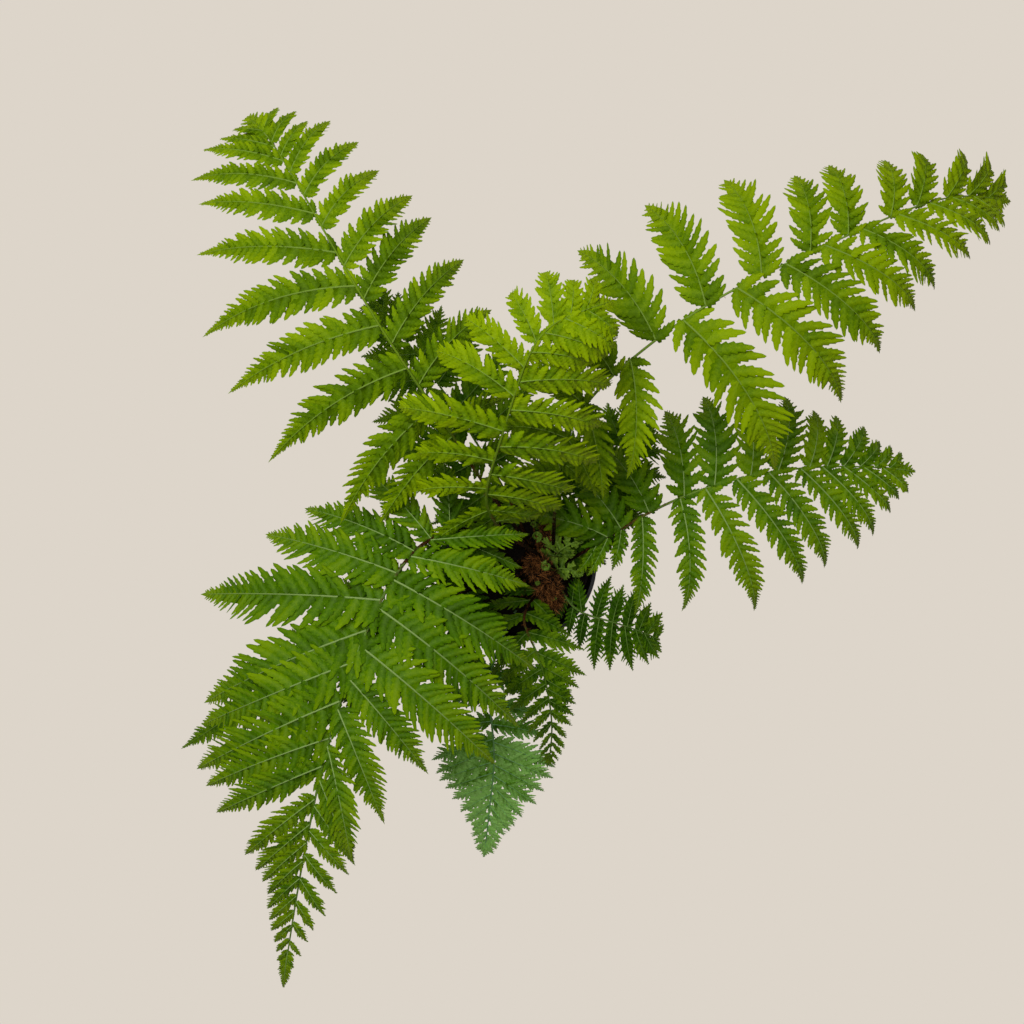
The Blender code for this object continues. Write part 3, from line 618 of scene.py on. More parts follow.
def sampled(values, share):
    """The value at a share of the way along a list of points or directions."""
    place = min(max(share, 0.0), 1.0) * (len(values) - 1)
    low = min(int(place), len(values) - 2)
    return Vector(values[low] + (values[low + 1] - values[low]) * (place - low))


def rooted(route):
    """The route in metres with its root inside the crown, before its first point."""
    start = Vector(route[0]) * MM
    inwards = CROWN_CENTRE + (start - CROWN_CENTRE) * ROOT_PULL
    return [(inwards.x, inwards.y, STALK_ROOT)] + [tuple(Vector(point) * MM) for point in route]


def blade_form(teeth, sides):
    """One blade as it is cut, one long and one half wide: a thin closed form with teeth in both margins.

    It starts as a ball with its poles at the blade's foot and tip. Six sides leave a furrow in the middle."""
    last = 2 * teeth + 1
    bpy.ops.mesh.primitive_uv_sphere_add(segments=sides, ring_count=last, radius=1)
    ball = bpy.context.object
    across = (1, 0.5, 0, -0.5, -1, 0) if sides == 6 else (1, 0, -1, 0)
    height = (-0.20, 0.04, -0.06, 0.04, -0.20, -0.18) if sides == 6 else (-0.20, 0.04, -0.20, -0.16)
    marks = []
    for vertex in ball.data.vertices:
        ring = round(math.acos(max(-1.0, min(1.0, vertex.co.z))) / math.pi * last)
        around = round(math.atan2(vertex.co.y, vertex.co.x) / math.tau * sides) % sides
        pole = ring in (0, last)
        tooth, notch = divmod(ring - 2, 2)
        along = 0.03 if ring < 2 else (tooth + (1.0 if notch else 0.82)) / teeth * 0.97
        along = {0: 0.0, last: 1.0}.get(ring, along)
        waist = 0.90 + 0.10 * math.sin(min(along / 0.25, 1) * math.pi / 2)
        wide = 1.04 * (1 - along**3.2) ** 0.72 * waist
        margin = abs(across[around]) == 1
        cut = 0.70 if margin and notch and ring > 2 else 1.0
        side = 0.0 if pole else across[around] * wide * cut
        lift = 0.0 if pole else height[around] * wide
        vertex.co = (along, side, lift)
        paleness = 0.14 * (1 - along) if across[around] == 0 or pole else 0.0
        beneath = 1.0 if around == sides - 1 else 0.0
        marks.append((paleness, beneath, across[around]))
    bpy.ops.object.mode_set(mode="EDIT")
    bpy.ops.mesh.select_all(action="SELECT")
    bpy.ops.mesh.normals_make_consistent(inside=False)
    bpy.ops.object.mode_set(mode="OBJECT")
    points = np.array([tuple(vertex.co) for vertex in ball.data.vertices])
    faces = [tuple(face.vertices) for face in ball.data.polygons]
    bpy.data.objects.remove(ball, do_unlink=True)
    return points, faces, np.array(marks), teeth


class Growth:
    """What has grown of one piece so far: its points, faces, marks for its finish and painted light, and
    blade map.

    The marks are tone, which also carries painted light and shade, how much rib, how much brown scale and how
    much underside."""

    def __init__(self):
        self.points, self.faces, self.marks, self.maps, self.count = [], [], [], [], 0

    def put(self, points, faces, marks, maps=None):
        self.points.append(points)
        self.faces.append(faces + self.count)
        self.marks.append(marks)
        self.maps.append(np.zeros((len(points), 2)) if maps is None else maps)
        self.count += len(points)

    def piece(self, name, material):
        """The mesh object. A face with three corners repeats its last one."""
        faces = np.concatenate(self.faces)
        corners = np.where(faces[:, 3] == faces[:, 2], 3, 4)
        loops = faces[np.arange(4)[None, :] < corners[:, None]]
        mesh = bpy.data.meshes.new(name)
        mesh.vertices.add(self.count)
        mesh.vertices.foreach_set("co", np.concatenate(self.points).astype(np.float32).ravel())
        mesh.loops.add(len(loops))
        mesh.loops.foreach_set("vertex_index", loops.astype(np.int32))
        mesh.polygons.add(len(faces))
        starts = np.concatenate([[0], np.cumsum(corners)[:-1]])
        mesh.polygons.foreach_set("loop_start", starts.astype(np.int32))
        mesh.update(calc_edges=True)
        finish_and_painted_light = mesh.attributes.new("finish_and_painted_light", "FLOAT_COLOR", "POINT")
        finish_and_painted_light.data.foreach_set("color", np.concatenate(self.marks).astype(np.float32).ravel())
        layer = mesh.uv_layers.new(name="blade")
        layer.data.foreach_set("uv", np.concatenate(self.maps)[loops].astype(np.float32).ravel())
        mesh.materials.append(material)
        made = bpy.data.objects.new(name, mesh)
        bpy.context.scene.collection.objects.link(made)
        bpy.ops.object.select_all(action="DESELECT")
        made.select_set(True)
        bpy.context.view_layer.objects.active = made
        bpy.ops.object.shade_smooth_by_angle(angle=LEAF_CREASE)
        return made


def four_cornered(faces, count, points_each):
    """The faces of a form for each of its copies, all with four corners."""
    form = np.array([face if len(face) == 4 else (*face, face[2]) for face in faces])
    return (form[None] + (np.arange(count) * points_each)[:, None, None]).reshape(-1, 4)


def put_blades(growth, form, blades):
    """Copies of one form, each laid out along its own line."""
    if not blades:
        return
    points, faces, marks, teeth = form
    foot, out, over, ahead = (np.array([blade[k] for blade in blades])[:, None, :] for k in range(4))
    length, half, tone, droop, hook = (
        np.array([blade[k] for blade in blades])[:, None, None] for k in range(4, 9)
    )
    up = np.cross(out, over)
    along, side, lift = (points[None, :, k : k + 1] for k in range(3))
    placed = foot + out * along * length + over * side * half + up * lift * half
    placed = placed + ahead * hook * length * along**2 - up * droop * length * along**2
    count, each = len(blades), len(points)
    finish_and_painted_light = np.zeros((count, each, 4))
    # Each blade gets lighter towards its tip and darker along its margins: painted shade where blades overlap
    # at their feet and edges, with the paler tip of the leaf.
    finish_and_painted_light[..., 0] = tone[..., 0] + 0.40 * along[..., 0] - 0.02 - 0.15 * marks[None, :, 2] ** 2
    finish_and_painted_light[..., 1] = marks[None, :, 0]
    finish_and_painted_light[..., 3] = marks[None, :, 1]
    maps = np.stack([points[:, 0] * teeth, marks[:, 2]], axis=-1)
    faces = four_cornered(faces, count, each)
    growth.put(placed.reshape(-1, 3), faces, finish_and_painted_light.reshape(-1, 4), np.tile(maps, (count, 1)))


def put_rib(growth, line, section, marks, tip):
    """A rib or stalk: sections along a line, closed at its foot and drawn out to a point.

    line holds a point, a direction across and one up for each section; section gives its corners there."""
    rings = [
        [centre + side * a + up * b for a, b in section(i)] for i, (centre, side, up) in enumerate(line)
    ]
    sides = len(rings[0])
    points = np.array([tuple(point) for ring in rings for point in ring] + [tuple(tip)])
    faces = []
    for i in range(len(rings) - 1):
        for k in range(sides):
            a, b = i * sides + k, i * sides + (k + 1) % sides
            faces.append((a, b, b + sides, a + sides))
    last, end = (len(rings) - 1) * sides, len(points) - 1
    for k in range(sides):
        faces.append((last + k, last + (k + 1) % sides, end, end))
    for k in range(1, sides - 1):
        faces.append((0, k + 1, k, k))
    growth.put(points, np.array(faces), marks)


def round_section(radius, sides):
    """The corners of a round section."""
    turns = [math.tau * k / sides for k in range(sides)]
    return [(radius * math.cos(turn), radius * math.sin(turn)) for turn in turns]


def put_slivers(growth, feet, towards, length, width, tone, draw):
    """Narrow chaffy scales: three-sided slivers that bend over towards their tips."""
    count = len(feet)
    aside = np.cross(towards, draw.normal(size=(count, 3)))
    aside /= np.linalg.norm(aside, axis=1)[:, None]
    beside = np.cross(towards, aside)
    bend = draw.normal(size=(count, 3)) * 0.35
    bend[:, 2] -= 0.12
    rings = []
    for along, wide, bent in ((-0.05, 1.0, 0.0), (0.5, 0.7, 0.25)):
        centre = feet + (towards * along + bend * bent) * length[:, None]
        for a, b in round_section(1, 3):
            flat = aside * a + beside * b * 0.5
            rings.append(centre + flat * (wide * width)[:, None])
    rings.append(feet + (towards * 0.9 + bend) * length[:, None])
    points = np.stack(rings, axis=1)
    form = [(0, 2, 1), (0, 1, 4, 3), (1, 2, 5, 4), (2, 0, 3, 5), (3, 4, 6), (4, 5, 6), (5, 3, 6)]
    marks = np.zeros((count, 7, 4))
    marks[..., 0] = tone[:, None]
    marks[..., 2] = 1.0
    growth.put(points.reshape(-1, 3), four_cornered(form, count, 7), marks.reshape(-1, 4))


def skin_places(points, along, radii, index, depth, stand, lie, draw):
    """Feet around a stalk or cord for its scales or wool, and the way that each of them points.

    depth is where they root as a share of the radius; stand and lie say how far they point out and on."""
    outward = draw.normal(size=(len(index), 3))
    outward -= along[index] * (outward * along[index]).sum(1)[:, None]
    outward /= np.linalg.norm(outward, axis=1)[:, None]
    feet = points[index] + outward * np.array(radii)[index][:, None] * depth
    towards = outward * stand + along[index] * draw.uniform(*lie, len(index))[:, None]
    return feet, towards / np.linalg.norm(towards, axis=1)[:, None]


def put_leaflet(growth, blades, foot, heading, normal, reach, half_width, bent, cut, tone, draw):
    """One leaflet: its rib arches out and droops, with a toothed blade at every few mm on either side.

    Towards the tip a web joins the blades, until only their teeth stand free. bent is how far the leaflet
    drops for each mm of reach, how much its tip nods and how it sweeps. cut is how far apart its blades
    stand, how broad they are, how much of the web is added and how blunt the leaflet ends."""
    sway = draw.uniform(*SWAY_SPAN)
    aside = heading.cross(UP).normalized()
    drop, nod, sweep = bent
    spacing, filling, fused, blunt = cut
    small = min(max((LONG_LEAFLET - reach / MM) / (LONG_LEAFLET - SHORT_LEAFLET), 0), 1)
    widths = [a + (b - a) * blunt for a, b in zip(SPREAD, BLUNT_SPREAD)]

    def middle(share):
        rise = ARCH * share - (ARCH + drop) * share**2 - 1.2 * nod * share**4
        out = share * (1 + nod) - nod * share**4
        bow = sweep * (share - share**2)
        return foot + (heading * out + UP * rise + aside * sway * share**2 + bow) * reach

    def frame_at(share):
        ahead = (middle(share + 0.01) - middle(share - 0.01)).normalized()
        flat = (normal * (1 - 0.5 * share) + UP * (0.5 * share)).normalized()
        side = flat.cross(ahead).normalized()
        return ahead, side, ahead.cross(side).normalized()

    def spread_at(share):
        return float(np.interp(share, SPREAD_AT, widths)) * half_width

    def joined_at(share):
        late = min(max((share - JOINS_FROM) / 0.45, 0), 1)
        most = MOST_JOINED - JOINED + 0.2 * blunt * late
        return min(JOINED + fused + most * max(late, small * min(1, JOINS_FROM + share)), ALL_JOINED)

    rib = (RIB_RADIUS * min(reach / (SHORT_LEAFLET * MM), 1) + RIB_GROWTH * reach / MM) * MM
    steps = RIB_STEPS if reach > SHORT_LEAFLET * MM else SHORT_RIB_STEPS
    line, webs, ribs = [], [], []
    for i in range(steps):
        share = i / steps
        _, side, up = frame_at(share)
        line.append((middle(share), side, up))
        ribs.append(rib * (1 - RIB_TAPER * share))
        webs.append(max(1.15 * ribs[-1], joined_at(share) * spread_at(share)))

    def section(i):
        web, r = webs[i], ribs[i]
        sag = -WEB_SAG * web
        low = 0.3 * r - WEB_SAG * web + 0.1 * web
        right = ((web, sag), (1.4 * r, low), (r, 0.8 * r))
        left = ((-r, 0.8 * r), (-1.4 * r, low), (-web, sag))
        return (*right, (0, 1.5 * r), *left, (0, -r))

    along = np.repeat(np.linspace(0, 1, steps), RIB_SIDES)
    marks = np.zeros((RIB_SIDES * steps + 1, 4))
    marks[:, 0] = tone
    marks[:-1, 1] = np.tile(RIB_PALENESS, steps) * (1 - 0.5 * along)
    marks[:-1, 0] += 0.5 * along**3
    marks[-1, 0] += 0.5
    put_rib(growth, line, section, marks, middle(1.0))

    for hand in (1, -1):
        place = (FIRST_BLADE if hand > 0 else FIRST_BEHIND) * MM
        while place < BLADES_END * reach:
            share = place / reach
            spread = spread_at(share)
            gap = (BLADE_GAP + GAP_GROWTH * spread / MM) * MM * spacing * draw.uniform(*GAP_SPAN)
            lean = math.radians(float(np.interp(share, LEAN_AT, LEAN)) + draw.gauss(0, LEAN_SPREAD))
            length = max(spread / math.sin(lean) * draw.uniform(*LENGTH_SPAN), LEAST_BLADE)
            half = BLADE_HALF * gap * filling * math.sin(lean) * draw.uniform(*HALF_SPAN)
            ahead, side, up = frame_at(share)
            roll, pitch = draw.gauss(0, ROLL_SPREAD), draw.gauss(PITCH, PITCH_SPREAD)
            out = ahead * math.cos(lean) + side * hand * math.sin(lean)
            out = (out + up * pitch * (1 - 0.8 * share)).normalized()
            over = (up.cross(out) + up * roll).normalized()
            over = (over - out * over.dot(out)).normalized()
            shade = tone + draw.gauss(0, SHADE_SPREAD) + SHADE_RISE * share
            # Painted light: the drooping end of the leaflet is made much lighter, standing in for light
            # through its tip.
            shade += TIP_PAINTED_LIGHT * max(share - TIP_FROM, 0)
            kind = next(kind for kind, form in BLADE_FORMS.items() if length > form[0])
            start = middle(share) + side * hand * 0.3 * ribs[min(int(share * steps), steps - 1)]
            droop, hook = draw.uniform(*DROOP_SPAN), draw.uniform(*HOOK_SPAN)
            blade = (tuple(start), tuple(out), tuple(over), tuple(ahead), length, half, shade, droop, hook)
            blades[kind].append(blade)
            place += gap


def put_rope(growth, path, radii, axis, tone, scale, rib):
    """A round cord along a path, closed at both ends."""
    line, ahead = [], None
    for i, point in enumerate(path):
        near, far = path[max(i - 1, 0)], path[min(i + 1, len(path) - 1)]
        ahead = (far - near).normalized()
        side = ahead.cross(axis).normalized()
        line.append((point, side, side.cross(ahead)))
    marks = np.zeros((10 * len(path) + 1, 4))
    marks[:] = (tone, rib, scale, 0)
    tip = path[-1] + ahead * radii[-1] * 0.6
    put_rib(growth, line, lambda i: round_section(radii[i], 10), marks, tip)


def put_beads(growth, places, size, tone, draw):
    """Leaf buds, each a small eight-sided lump."""
    form = np.array([(1, 0, 0), (0, 1, 0), (-1, 0, 0), (0, -1, 0), (0, 0, 1), (0, 0, -1)], float)
    sides = [(k, (k + 1) % 4, 4, 4) for k in range(4)] + [((k + 1) % 4, k, 5, 5) for k in range(4)]
    for place, radius in zip(places, size):
        points = place + form * radius * draw.uniform(0.7, 1.2, (6, 1))
        marks = np.zeros((6, 4))
        marks[:, 0] = tone + draw.uniform(-0.35, 0.45)
        growth.put(points, np.array(sides), marks)


# A coil of buds: its turns, its cord and its stem for its radius, and its beads, more on a bigger coil.
BUD_TURNS, BUD_STEPS = 1.5, 24
BUD_CORD, STEM_CORD = 0.3, 0.22
BUD_BEADS, BEADS_AT_LEAST, BEADS_RADIUS = 90, 12, 4 * MM


def put_bud_coil(growth, centre, axis, radius, thick, start, draw):
    """A tight grey-green coil with leaf buds on both flanks of its cord."""
    side = axis.orthogonal().normalized()
    across = axis.cross(side)
    path, radii = [], []
    for step in range(BUD_STEPS + 1):
        done = step / BUD_STEPS
        turn = start + math.tau * BUD_TURNS * done
        out = side * math.cos(turn) + across * math.sin(turn)
        path.append(centre + out * radius * (1 - 0.75 * done))
        radii.append(thick * (1 - 0.5 * done))
    put_rope(growth, path, radii, axis, 0.55, 0.0, 0.25)
    places, size = [], []
    for _ in range(int(BUD_BEADS * radius / BEADS_RADIUS) + BEADS_AT_LEAST):
        k = draw.integers(0, BUD_STEPS + 1)
        out = (path[k] - centre).normalized() * radii[k] * 0.7
        flank = axis * radii[k] * draw.choice((-0.6, 0.75, 0.9))
        places.append(np.array(path[k] + out * draw.uniform(-0.6, 1.1) + flank))
        size.append(thick * draw.uniform(0.45, 0.8))
    put_beads(growth, places, size, 0.5, draw)


def leaflet_places(shape, side, basal, start):
    """Each leaflet's place as a share of the route, its reach in mm and its angle in degrees."""
    reach, angle = side["reach"], side["angle"]
    last_pair = min(LAST_PAIR, shape.get("apex", APEX) + PAST_APEX)
    if "at" in side:
        places = side["at"]
        found = list(zip(places, reach, angle))
        gap = min(b - a for a, b in zip(places[-4:], places[-3:]))
        share = places[-1] + gap
        while share < last_pair:
            left = ((1 - share) / (1 - places[-1])) ** shape.get("taper", TAPER)
            found.append((share, SHORTEST + (reach[-1] - SHORTEST) * left, angle[-1]))
            gap = max(CLOSER * gap, CLOSEST)
            share += gap
    else:
        bare, pairs = shape["bare"], shape["pairs"]
        stations = [bare + (1 - bare) * k / 4 for k in range(5)]
        along = [1 - (1 - min((k + start) / pairs, 1.0)) ** shape["closing"] for k in range(pairs)]
        places = [bare + (1 - bare) * share for share in along]
        places = [share for share in places if share <= last_pair]
        found = list(zip(places, np.interp(places, stations, reach), np.interp(places, stations, angle)))
    first = places[1] - places[0]
    for number in range(1, basal + 1):
        place = max(places[0] - BASAL_GAP * first * number, FIRST_PLACE)
        found.append((place, reach[0] * BASAL_REACH[number - 1], angle[0] + BASAL_TURN * number))
    return found


def grown_frond(name, shape, seed, tone, material):
    """The whole frond as one piece, with its leaflets where the frame has them."""
    growth = Growth()
    blades = {kind: [] for kind in BLADE_FORMS}
    fine, directions = smooth_route(rooted(shape["route"]), STALK_STEPS)
    draw = random.Random(seed)
    spacing, filling = shape.get("coarse", (1.0, 1.0))
    for hand, sign, start, basal in zip(("left", "right"), (1, -1), (LEFT_AHEAD, 0.0), shape["basal"]):
        side = shape.get(hand) or shape["both"]
        for share, reach, angle in leaflet_places(shape, side, basal, start):
            foot, ahead = sampled(fine, share), sampled(directions, share)
            turn = math.radians(angle + draw.uniform(*TURN_SPAN)) * sign
            reach *= MM * draw.uniform(*REACH_SPAN)
            drop = side["drop"] + draw.uniform(*DROP_SPAN)
            plan = Vector((ahead.x, ahead.y, 0)).normalized()
            heading = Matrix.Rotation(turn, 3, "Z") @ plan
            normal = heading.cross(ahead) * -sign
            thick = stalk_radius(shape, share)
            foot = foot + heading * 0.7 * thick + Vector((0, 0, shape.get("over", -0.5) * thick))
            near, far = side.get("wide", (1.0, 1.0))
            wide = shape["full"] * (near + (far - near) * share)
            half = HALF_WIDTH * min(reach / (FULL_REACH * MM), 1) + WIDTH_GROWTH * reach / MM
            half = half * MM * wide
            # The frond's rise makes its leaflets lighter towards its tip: partly paler leaf and partly
            # painted light on the drooping end.
            shade = tone + draw.gauss(0, TONE_SPREAD) + shape.get("rise", 0.2) * share**1.5
            bent = (drop, side.get("nod", 0.05), plan * shape.get("sweep", -0.14))
            cut = (spacing, filling, shape.get("fused", 0.0) * share**2, side.get("blunt", 0.0))
            put_leaflet(growth, blades, foot, heading, normal, reach, half, bent, cut, shade, draw)
    put_stalk(growth, shape, fine, directions, tone, seed)
    rng = np.random.default_rng(seed + 200)
    end, ahead = Vector(fine[-1]), Vector(directions[-1])
    if "coil" in shape:
        radius = shape["coil"] * MM
        place = end + Vector((ahead.x, ahead.y, 0)).normalized() * 0.8 * radius
        axis = Vector((0.15, -0.1, 1)).normalized()
        put_bud_coil(growth, place, axis, radius, BUD_CORD * radius, 2.0, rng)
    else:
        # The leaflet at the tip carries the stalk on, and is cut like the last one beside it.
        foot = sampled(fine, shape.get("apex", APEX))
        start = sampled(directions, shape.get("apex", APEX))
        along = end - foot
        length = along.length
        across = UP.cross(along).normalized()
        heading = along - along.project(across) - UP * (along.z - start.z * length)
        normal = heading.cross(across).normalized()
        bent = (start.z - along.z / length, 0.0, Vector((0, 0, 0)))
        wide = min(shape.get("end", TIP_WIDTH) * length, TIP_MOST)
        # The leaflet at the tip takes the frond's whole rise, paler leaf and painted light.
        shade = tone + shape.get("rise", 0.2)
        put_leaflet(growth, blades, foot, heading.normalized(), normal, length, wide, bent, cut, shade, draw)
    for place, radius, foot in shape.get("buds", ()):
        place, foot = Vector(place) * MM, Vector(foot) * MM
        stem, _ = smooth_route([foot, foot.lerp(place, 0.6) + Vector((0, 0, 4 * MM)), place], 8)
        stem = [Vector(point) for point in stem]
        put_rope(growth, stem, [STEM_CORD * radius * MM] * len(stem), UP, 0.6, 0.5, 0.2)
        axis = Vector((-0.1, -0.1, 1)).normalized()
        put_bud_coil(growth, place, axis, radius * MM, BUD_CORD * radius * MM, 4.0, rng)
    for kind, form in blade_forms.items():
        put_blades(growth, form, blades[kind])
    return growth.piece(name, material)


def stalk_radius(shape, share):
    """The radius of a stalk at a share of its route."""
    radius = shape["radius"] * MM
    return radius + (TIP_RADIUS - radius) * share**STALK_TAPER


def put_stalk(growth, shape, fine, directions, tone, seed):
    """The stalk, furrowed along its top, with brown chaffy scales that thin out towards its tip."""
    steps = len(fine) - 1
    line, radii = [], []
    across = Vector(directions[0]).orthogonal()
    for i in range(steps):
        ahead = Vector(directions[i])
        across = ahead.cross(UP) if abs(ahead.z) < 0.9 else across
        across = (across - ahead * across.dot(ahead)).normalized()
        line.append((Vector(fine[i]), across, across.cross(ahead).normalized() * -1))
        radii.append(stalk_radius(shape, i / steps))

    def section(i):
        corners = round_section(radii[i], STALK_SIDES)
        corners[2] = (corners[2][0], corners[2][1] * 0.75)
        return corners

    pale = shape.get("pale", 0.0)
    share = np.repeat(np.linspace(0, 1, steps), STALK_SIDES)
    marks = np.zeros((STALK_SIDES * steps + 1, 4))
    marks[:, 1] = 0.3 + 0.5 * pale
    marks[:-1, 0] = tone - 0.5 + 0.75 * np.clip(share / (0.5 - 0.25 * pale), 0, 1)
    marks[:-1, 2] = np.clip(0.95 - share / (0.6 - 0.35 * pale), 0, 1)
    put_rib(growth, line, section, marks, fine[-1])
    rng = np.random.default_rng(seed + 50)
    count = int(STALK_SCALES + SCALES_PER_MM * shape["radius"])
    at = rng.uniform(0.02, 0.75, count) ** 1.3
    index = (at * (steps - 1)).astype(int)
    feet, towards = skin_places(fine, directions, radii, index, 0.9, 1.0, (0.2, 1.2), rng)
    size = rng.uniform(2.0, 5.5, count) * MM * (1 - 0.6 * at)
    put_slivers(growth, feet, towards, size, 0.07 * size + 0.08 * MM, rng.uniform(-0.3, 0.7, count), rng)


def fern_leaf(name, deep, fresh, tip, rib, under, shine=0.06):
    """Living leaf tissue with a thin wax skin: satin, with fine side veins, paler beneath and at its tips,
    where its tone also carries painted light.

    Where the marks say so it is covered with brown chaff. Light and dark patches are 17 mm wide, the chaff is
    cut up at 3.8 mm, and specks of 1.4 mm are coarser than real ones so that they show."""
    material, tree, shader, place = new_material(name)
    marks = add(tree, "Attribute", {"attribute_name": "finish_and_painted_light"})
    parts = add(tree, "SeparateColor", {}, {"Color": marks})
    blade = add(tree, "UVMap", {"uv_map": "blade"})
    way = add(tree, "SeparateXYZ", {}, {"Vector": blade})
    out = add(tree, "Math", {"operation": "ABSOLUTE"}, {0: way.outputs["Y"]})
    phase = add(tree, "Math", {"operation": "MULTIPLY_ADD", 1: -0.7}, {0: out, 2: way.outputs["X"]})
    turn = add(tree, "Math", {"operation": "MULTIPLY", 1: math.tau}, {0: phase})
    veins = add(tree, "Math", {"operation": "COSINE"}, {0: turn})
    patch = add(tree, "TexNoise", {"Scale": 60.0, "Detail": 3.0}, {"Vector": place})
    speck = add(tree, "TexNoise", {"Scale": 700.0, "Detail": 2.0}, {"Vector": place})
    light = parts.outputs["Red"]
    for noise in (patch, speck):
        swing = add(tree, "Math", {"operation": "MULTIPLY_ADD", 1: 0.5, 2: -0.25}, {0: noise})
        light = add(tree, "Math", {"operation": "ADD"}, {0: swing, 1: light})
    light = add(tree, "Math", {"operation": "MULTIPLY_ADD", 1: 0.04}, {0: veins, 2: light})
    low = add(tree, "MapRange", {"From Min": 0.0, "From Max": 0.55}, {"Value": light})
    high = add(tree, "MapRange", {"From Min": 0.5, "From Max": 1.0}, {"Value": light})
    colour = add(tree, "Mix", {"data_type": "RGBA", 6: linear(deep), 7: linear(fresh)}, {0: low})
    for share, shade in ((high, tip), (marks.outputs["Alpha"], under), (parts.outputs["Green"], rib)):
        colour = add(tree, "Mix", {"data_type": "RGBA", 7: linear(shade)}, {0: share, 6: colour.outputs[2]})
    chaff = add(tree, "TexNoise", {"Scale": 260.0, "Detail": 3.0}, {"Vector": place})
    cover = add(tree, "Math", {"operation": "MULTIPLY_ADD", 1: 1.6, 2: -0.9}, {0: parts.outputs["Blue"]})
    cover = add(tree, "Math", {"operation": "ADD"}, {0: cover, 1: chaff})
    brown = add(tree, "MapRange", {"From Min": 0.0, "From Max": 0.3}, {"Value": cover})
    pale = add(tree, "MapRange", {"From Min": 0.2, "From Max": 1.15}, {"Value": light})
    browns = {"data_type": "RGBA", 6: linear("#160A03"), 7: linear("#C88448")}
    scale = add(tree, "Mix", browns, {0: pale})
    colour = add(tree, "Mix", {"data_type": "RGBA"}, {0: brown, 6: colour.outputs[2], 7: scale.outputs[2]})
    tree.links.new(colour.outputs[2], shader.inputs["Base Color"])
    rise = add(tree, "Math", {"operation": "MULTIPLY_ADD", 1: 0.2}, {0: veins, 2: speck})
    bump = add(tree, "Bump", {"Strength": 0.5, "Distance": 0.6 * MM}, {"Height": rise})
    tree.links.new(bump.outputs[0], shader.inputs["Normal"])
    shader.inputs["Roughness"].default_value = 0.6
    shader.inputs["IOR"].default_value = 1.42
    shader.inputs["Specular IOR Level"].default_value = shine
    return material


# One leaf for each stage and light, with light and shade painted in: yellower and brighter on the high
# fronds as painted light, deeper green as painted shade on the low fronds and those under others, bluish
# green and brightening to a pale tip as painted light on the lowest front frond, and soft and pale on young
# fronds. The colours are deep, fresh, tip, rib and underside.
LEAVES = {
    "frond_bright": fern_leaf("fern_leaf_bright", "#2C4C00", "#6A9000", "#9DBC00", "#8EAE48", "#7C9A10"),
    "frond_green": fern_leaf("fern_leaf_green", "#204200", "#568400", "#88AC00", "#A2C070", "#688C10"),
    "frond_dark": fern_leaf("fern_leaf_dark", "#163400", "#406C00", "#7CA40C", "#7A9C48", "#52741C"),
    "frond_bluish": fern_leaf("fern_leaf_bluish", "#1E4400", "#68A818", "#B0F078", "#98D090", "#64A460"),
    "young_frond": fern_leaf("fern_leaf_young", "#2E5210", "#7A9E28", "#A4C850", "#9CC064", "#7C9C58"),
}
# Each frond's leaf, and how light it is; both carry painted light on high fronds and painted shade on low
# ones, besides the leaf's own colour.
FROND_LEAVES = {
    "frond_upper_left": ("frond_bright", 0.33),
    "frond_centre": ("frond_bright", 0.38),
    "frond_upper_right": ("frond_bright", 0.32),
    "frond_right": ("frond_green", 0.42),
    "frond_lower_left": ("frond_green", 0.25),
    "frond_front_low": ("frond_bluish", 0.20),
    "frond_front": ("frond_dark", 0.38),
    "frond_small_right": ("frond_dark", 0.05),
    "frond_under_right": ("frond_dark", 0.36),
    "frond_under_left": ("frond_dark", 0.32),
    "frond_under_top": ("frond_dark", 0.44),
    "young_frond_upper": ("young_frond", 0.20),
    "young_frond_lower": ("young_frond", 0.20),
}

blade_forms = {kind: blade_form(teeth, sides) for kind, (_, teeth, sides) in BLADE_FORMS.items()}
for seed, (name, shape) in enumerate(FRONDS.items()):
    leaf, tone = FROND_LEAVES[name]
    piece = grown_frond(name + "_grown", shape, seed, tone, LEAVES[leaf])
    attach(piece, "root")
    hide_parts(name)

# The crown: a short upright trunk, clad in the stumps of old stalks and thick with brown chaffy scales. All
# the stalks stand in it, and it stands in the soil beside the pot's axis. Its profile is radii and heights in
# mm, and the stumps climb around it in the turn that most plants keep from leaf to leaf.
CROWN_PROFILE = (
    (14, 112), (18, 122), (21, 132), (24, 141), (26.5, 150), (26.5, 156), (24, 162), (16, 168), (6, 170.5)
)
CROWN_TOP = 171
CROWN_SIDES = 40
CROWN_BUMPS = (0.93, 1.04)
CROWN_SCALES = 1500
SCALES_HEIGHT, SCALES_SIZE, SCALES_RISE = (136, 170), (4, 8), (0.3, 1.6)
STUMPS, STUMP_TURN = 16, 0.382
STUMP_CIRCLE, STUMP_FOOT, STUMP_CLIMB = 17, 136, 1.4
STUMP_RADII = [2.6 * MM * (1 - 0.07 * step) for step in range(5)]
STUMP_STEP = 3.4
STUMP_SIDES = 8


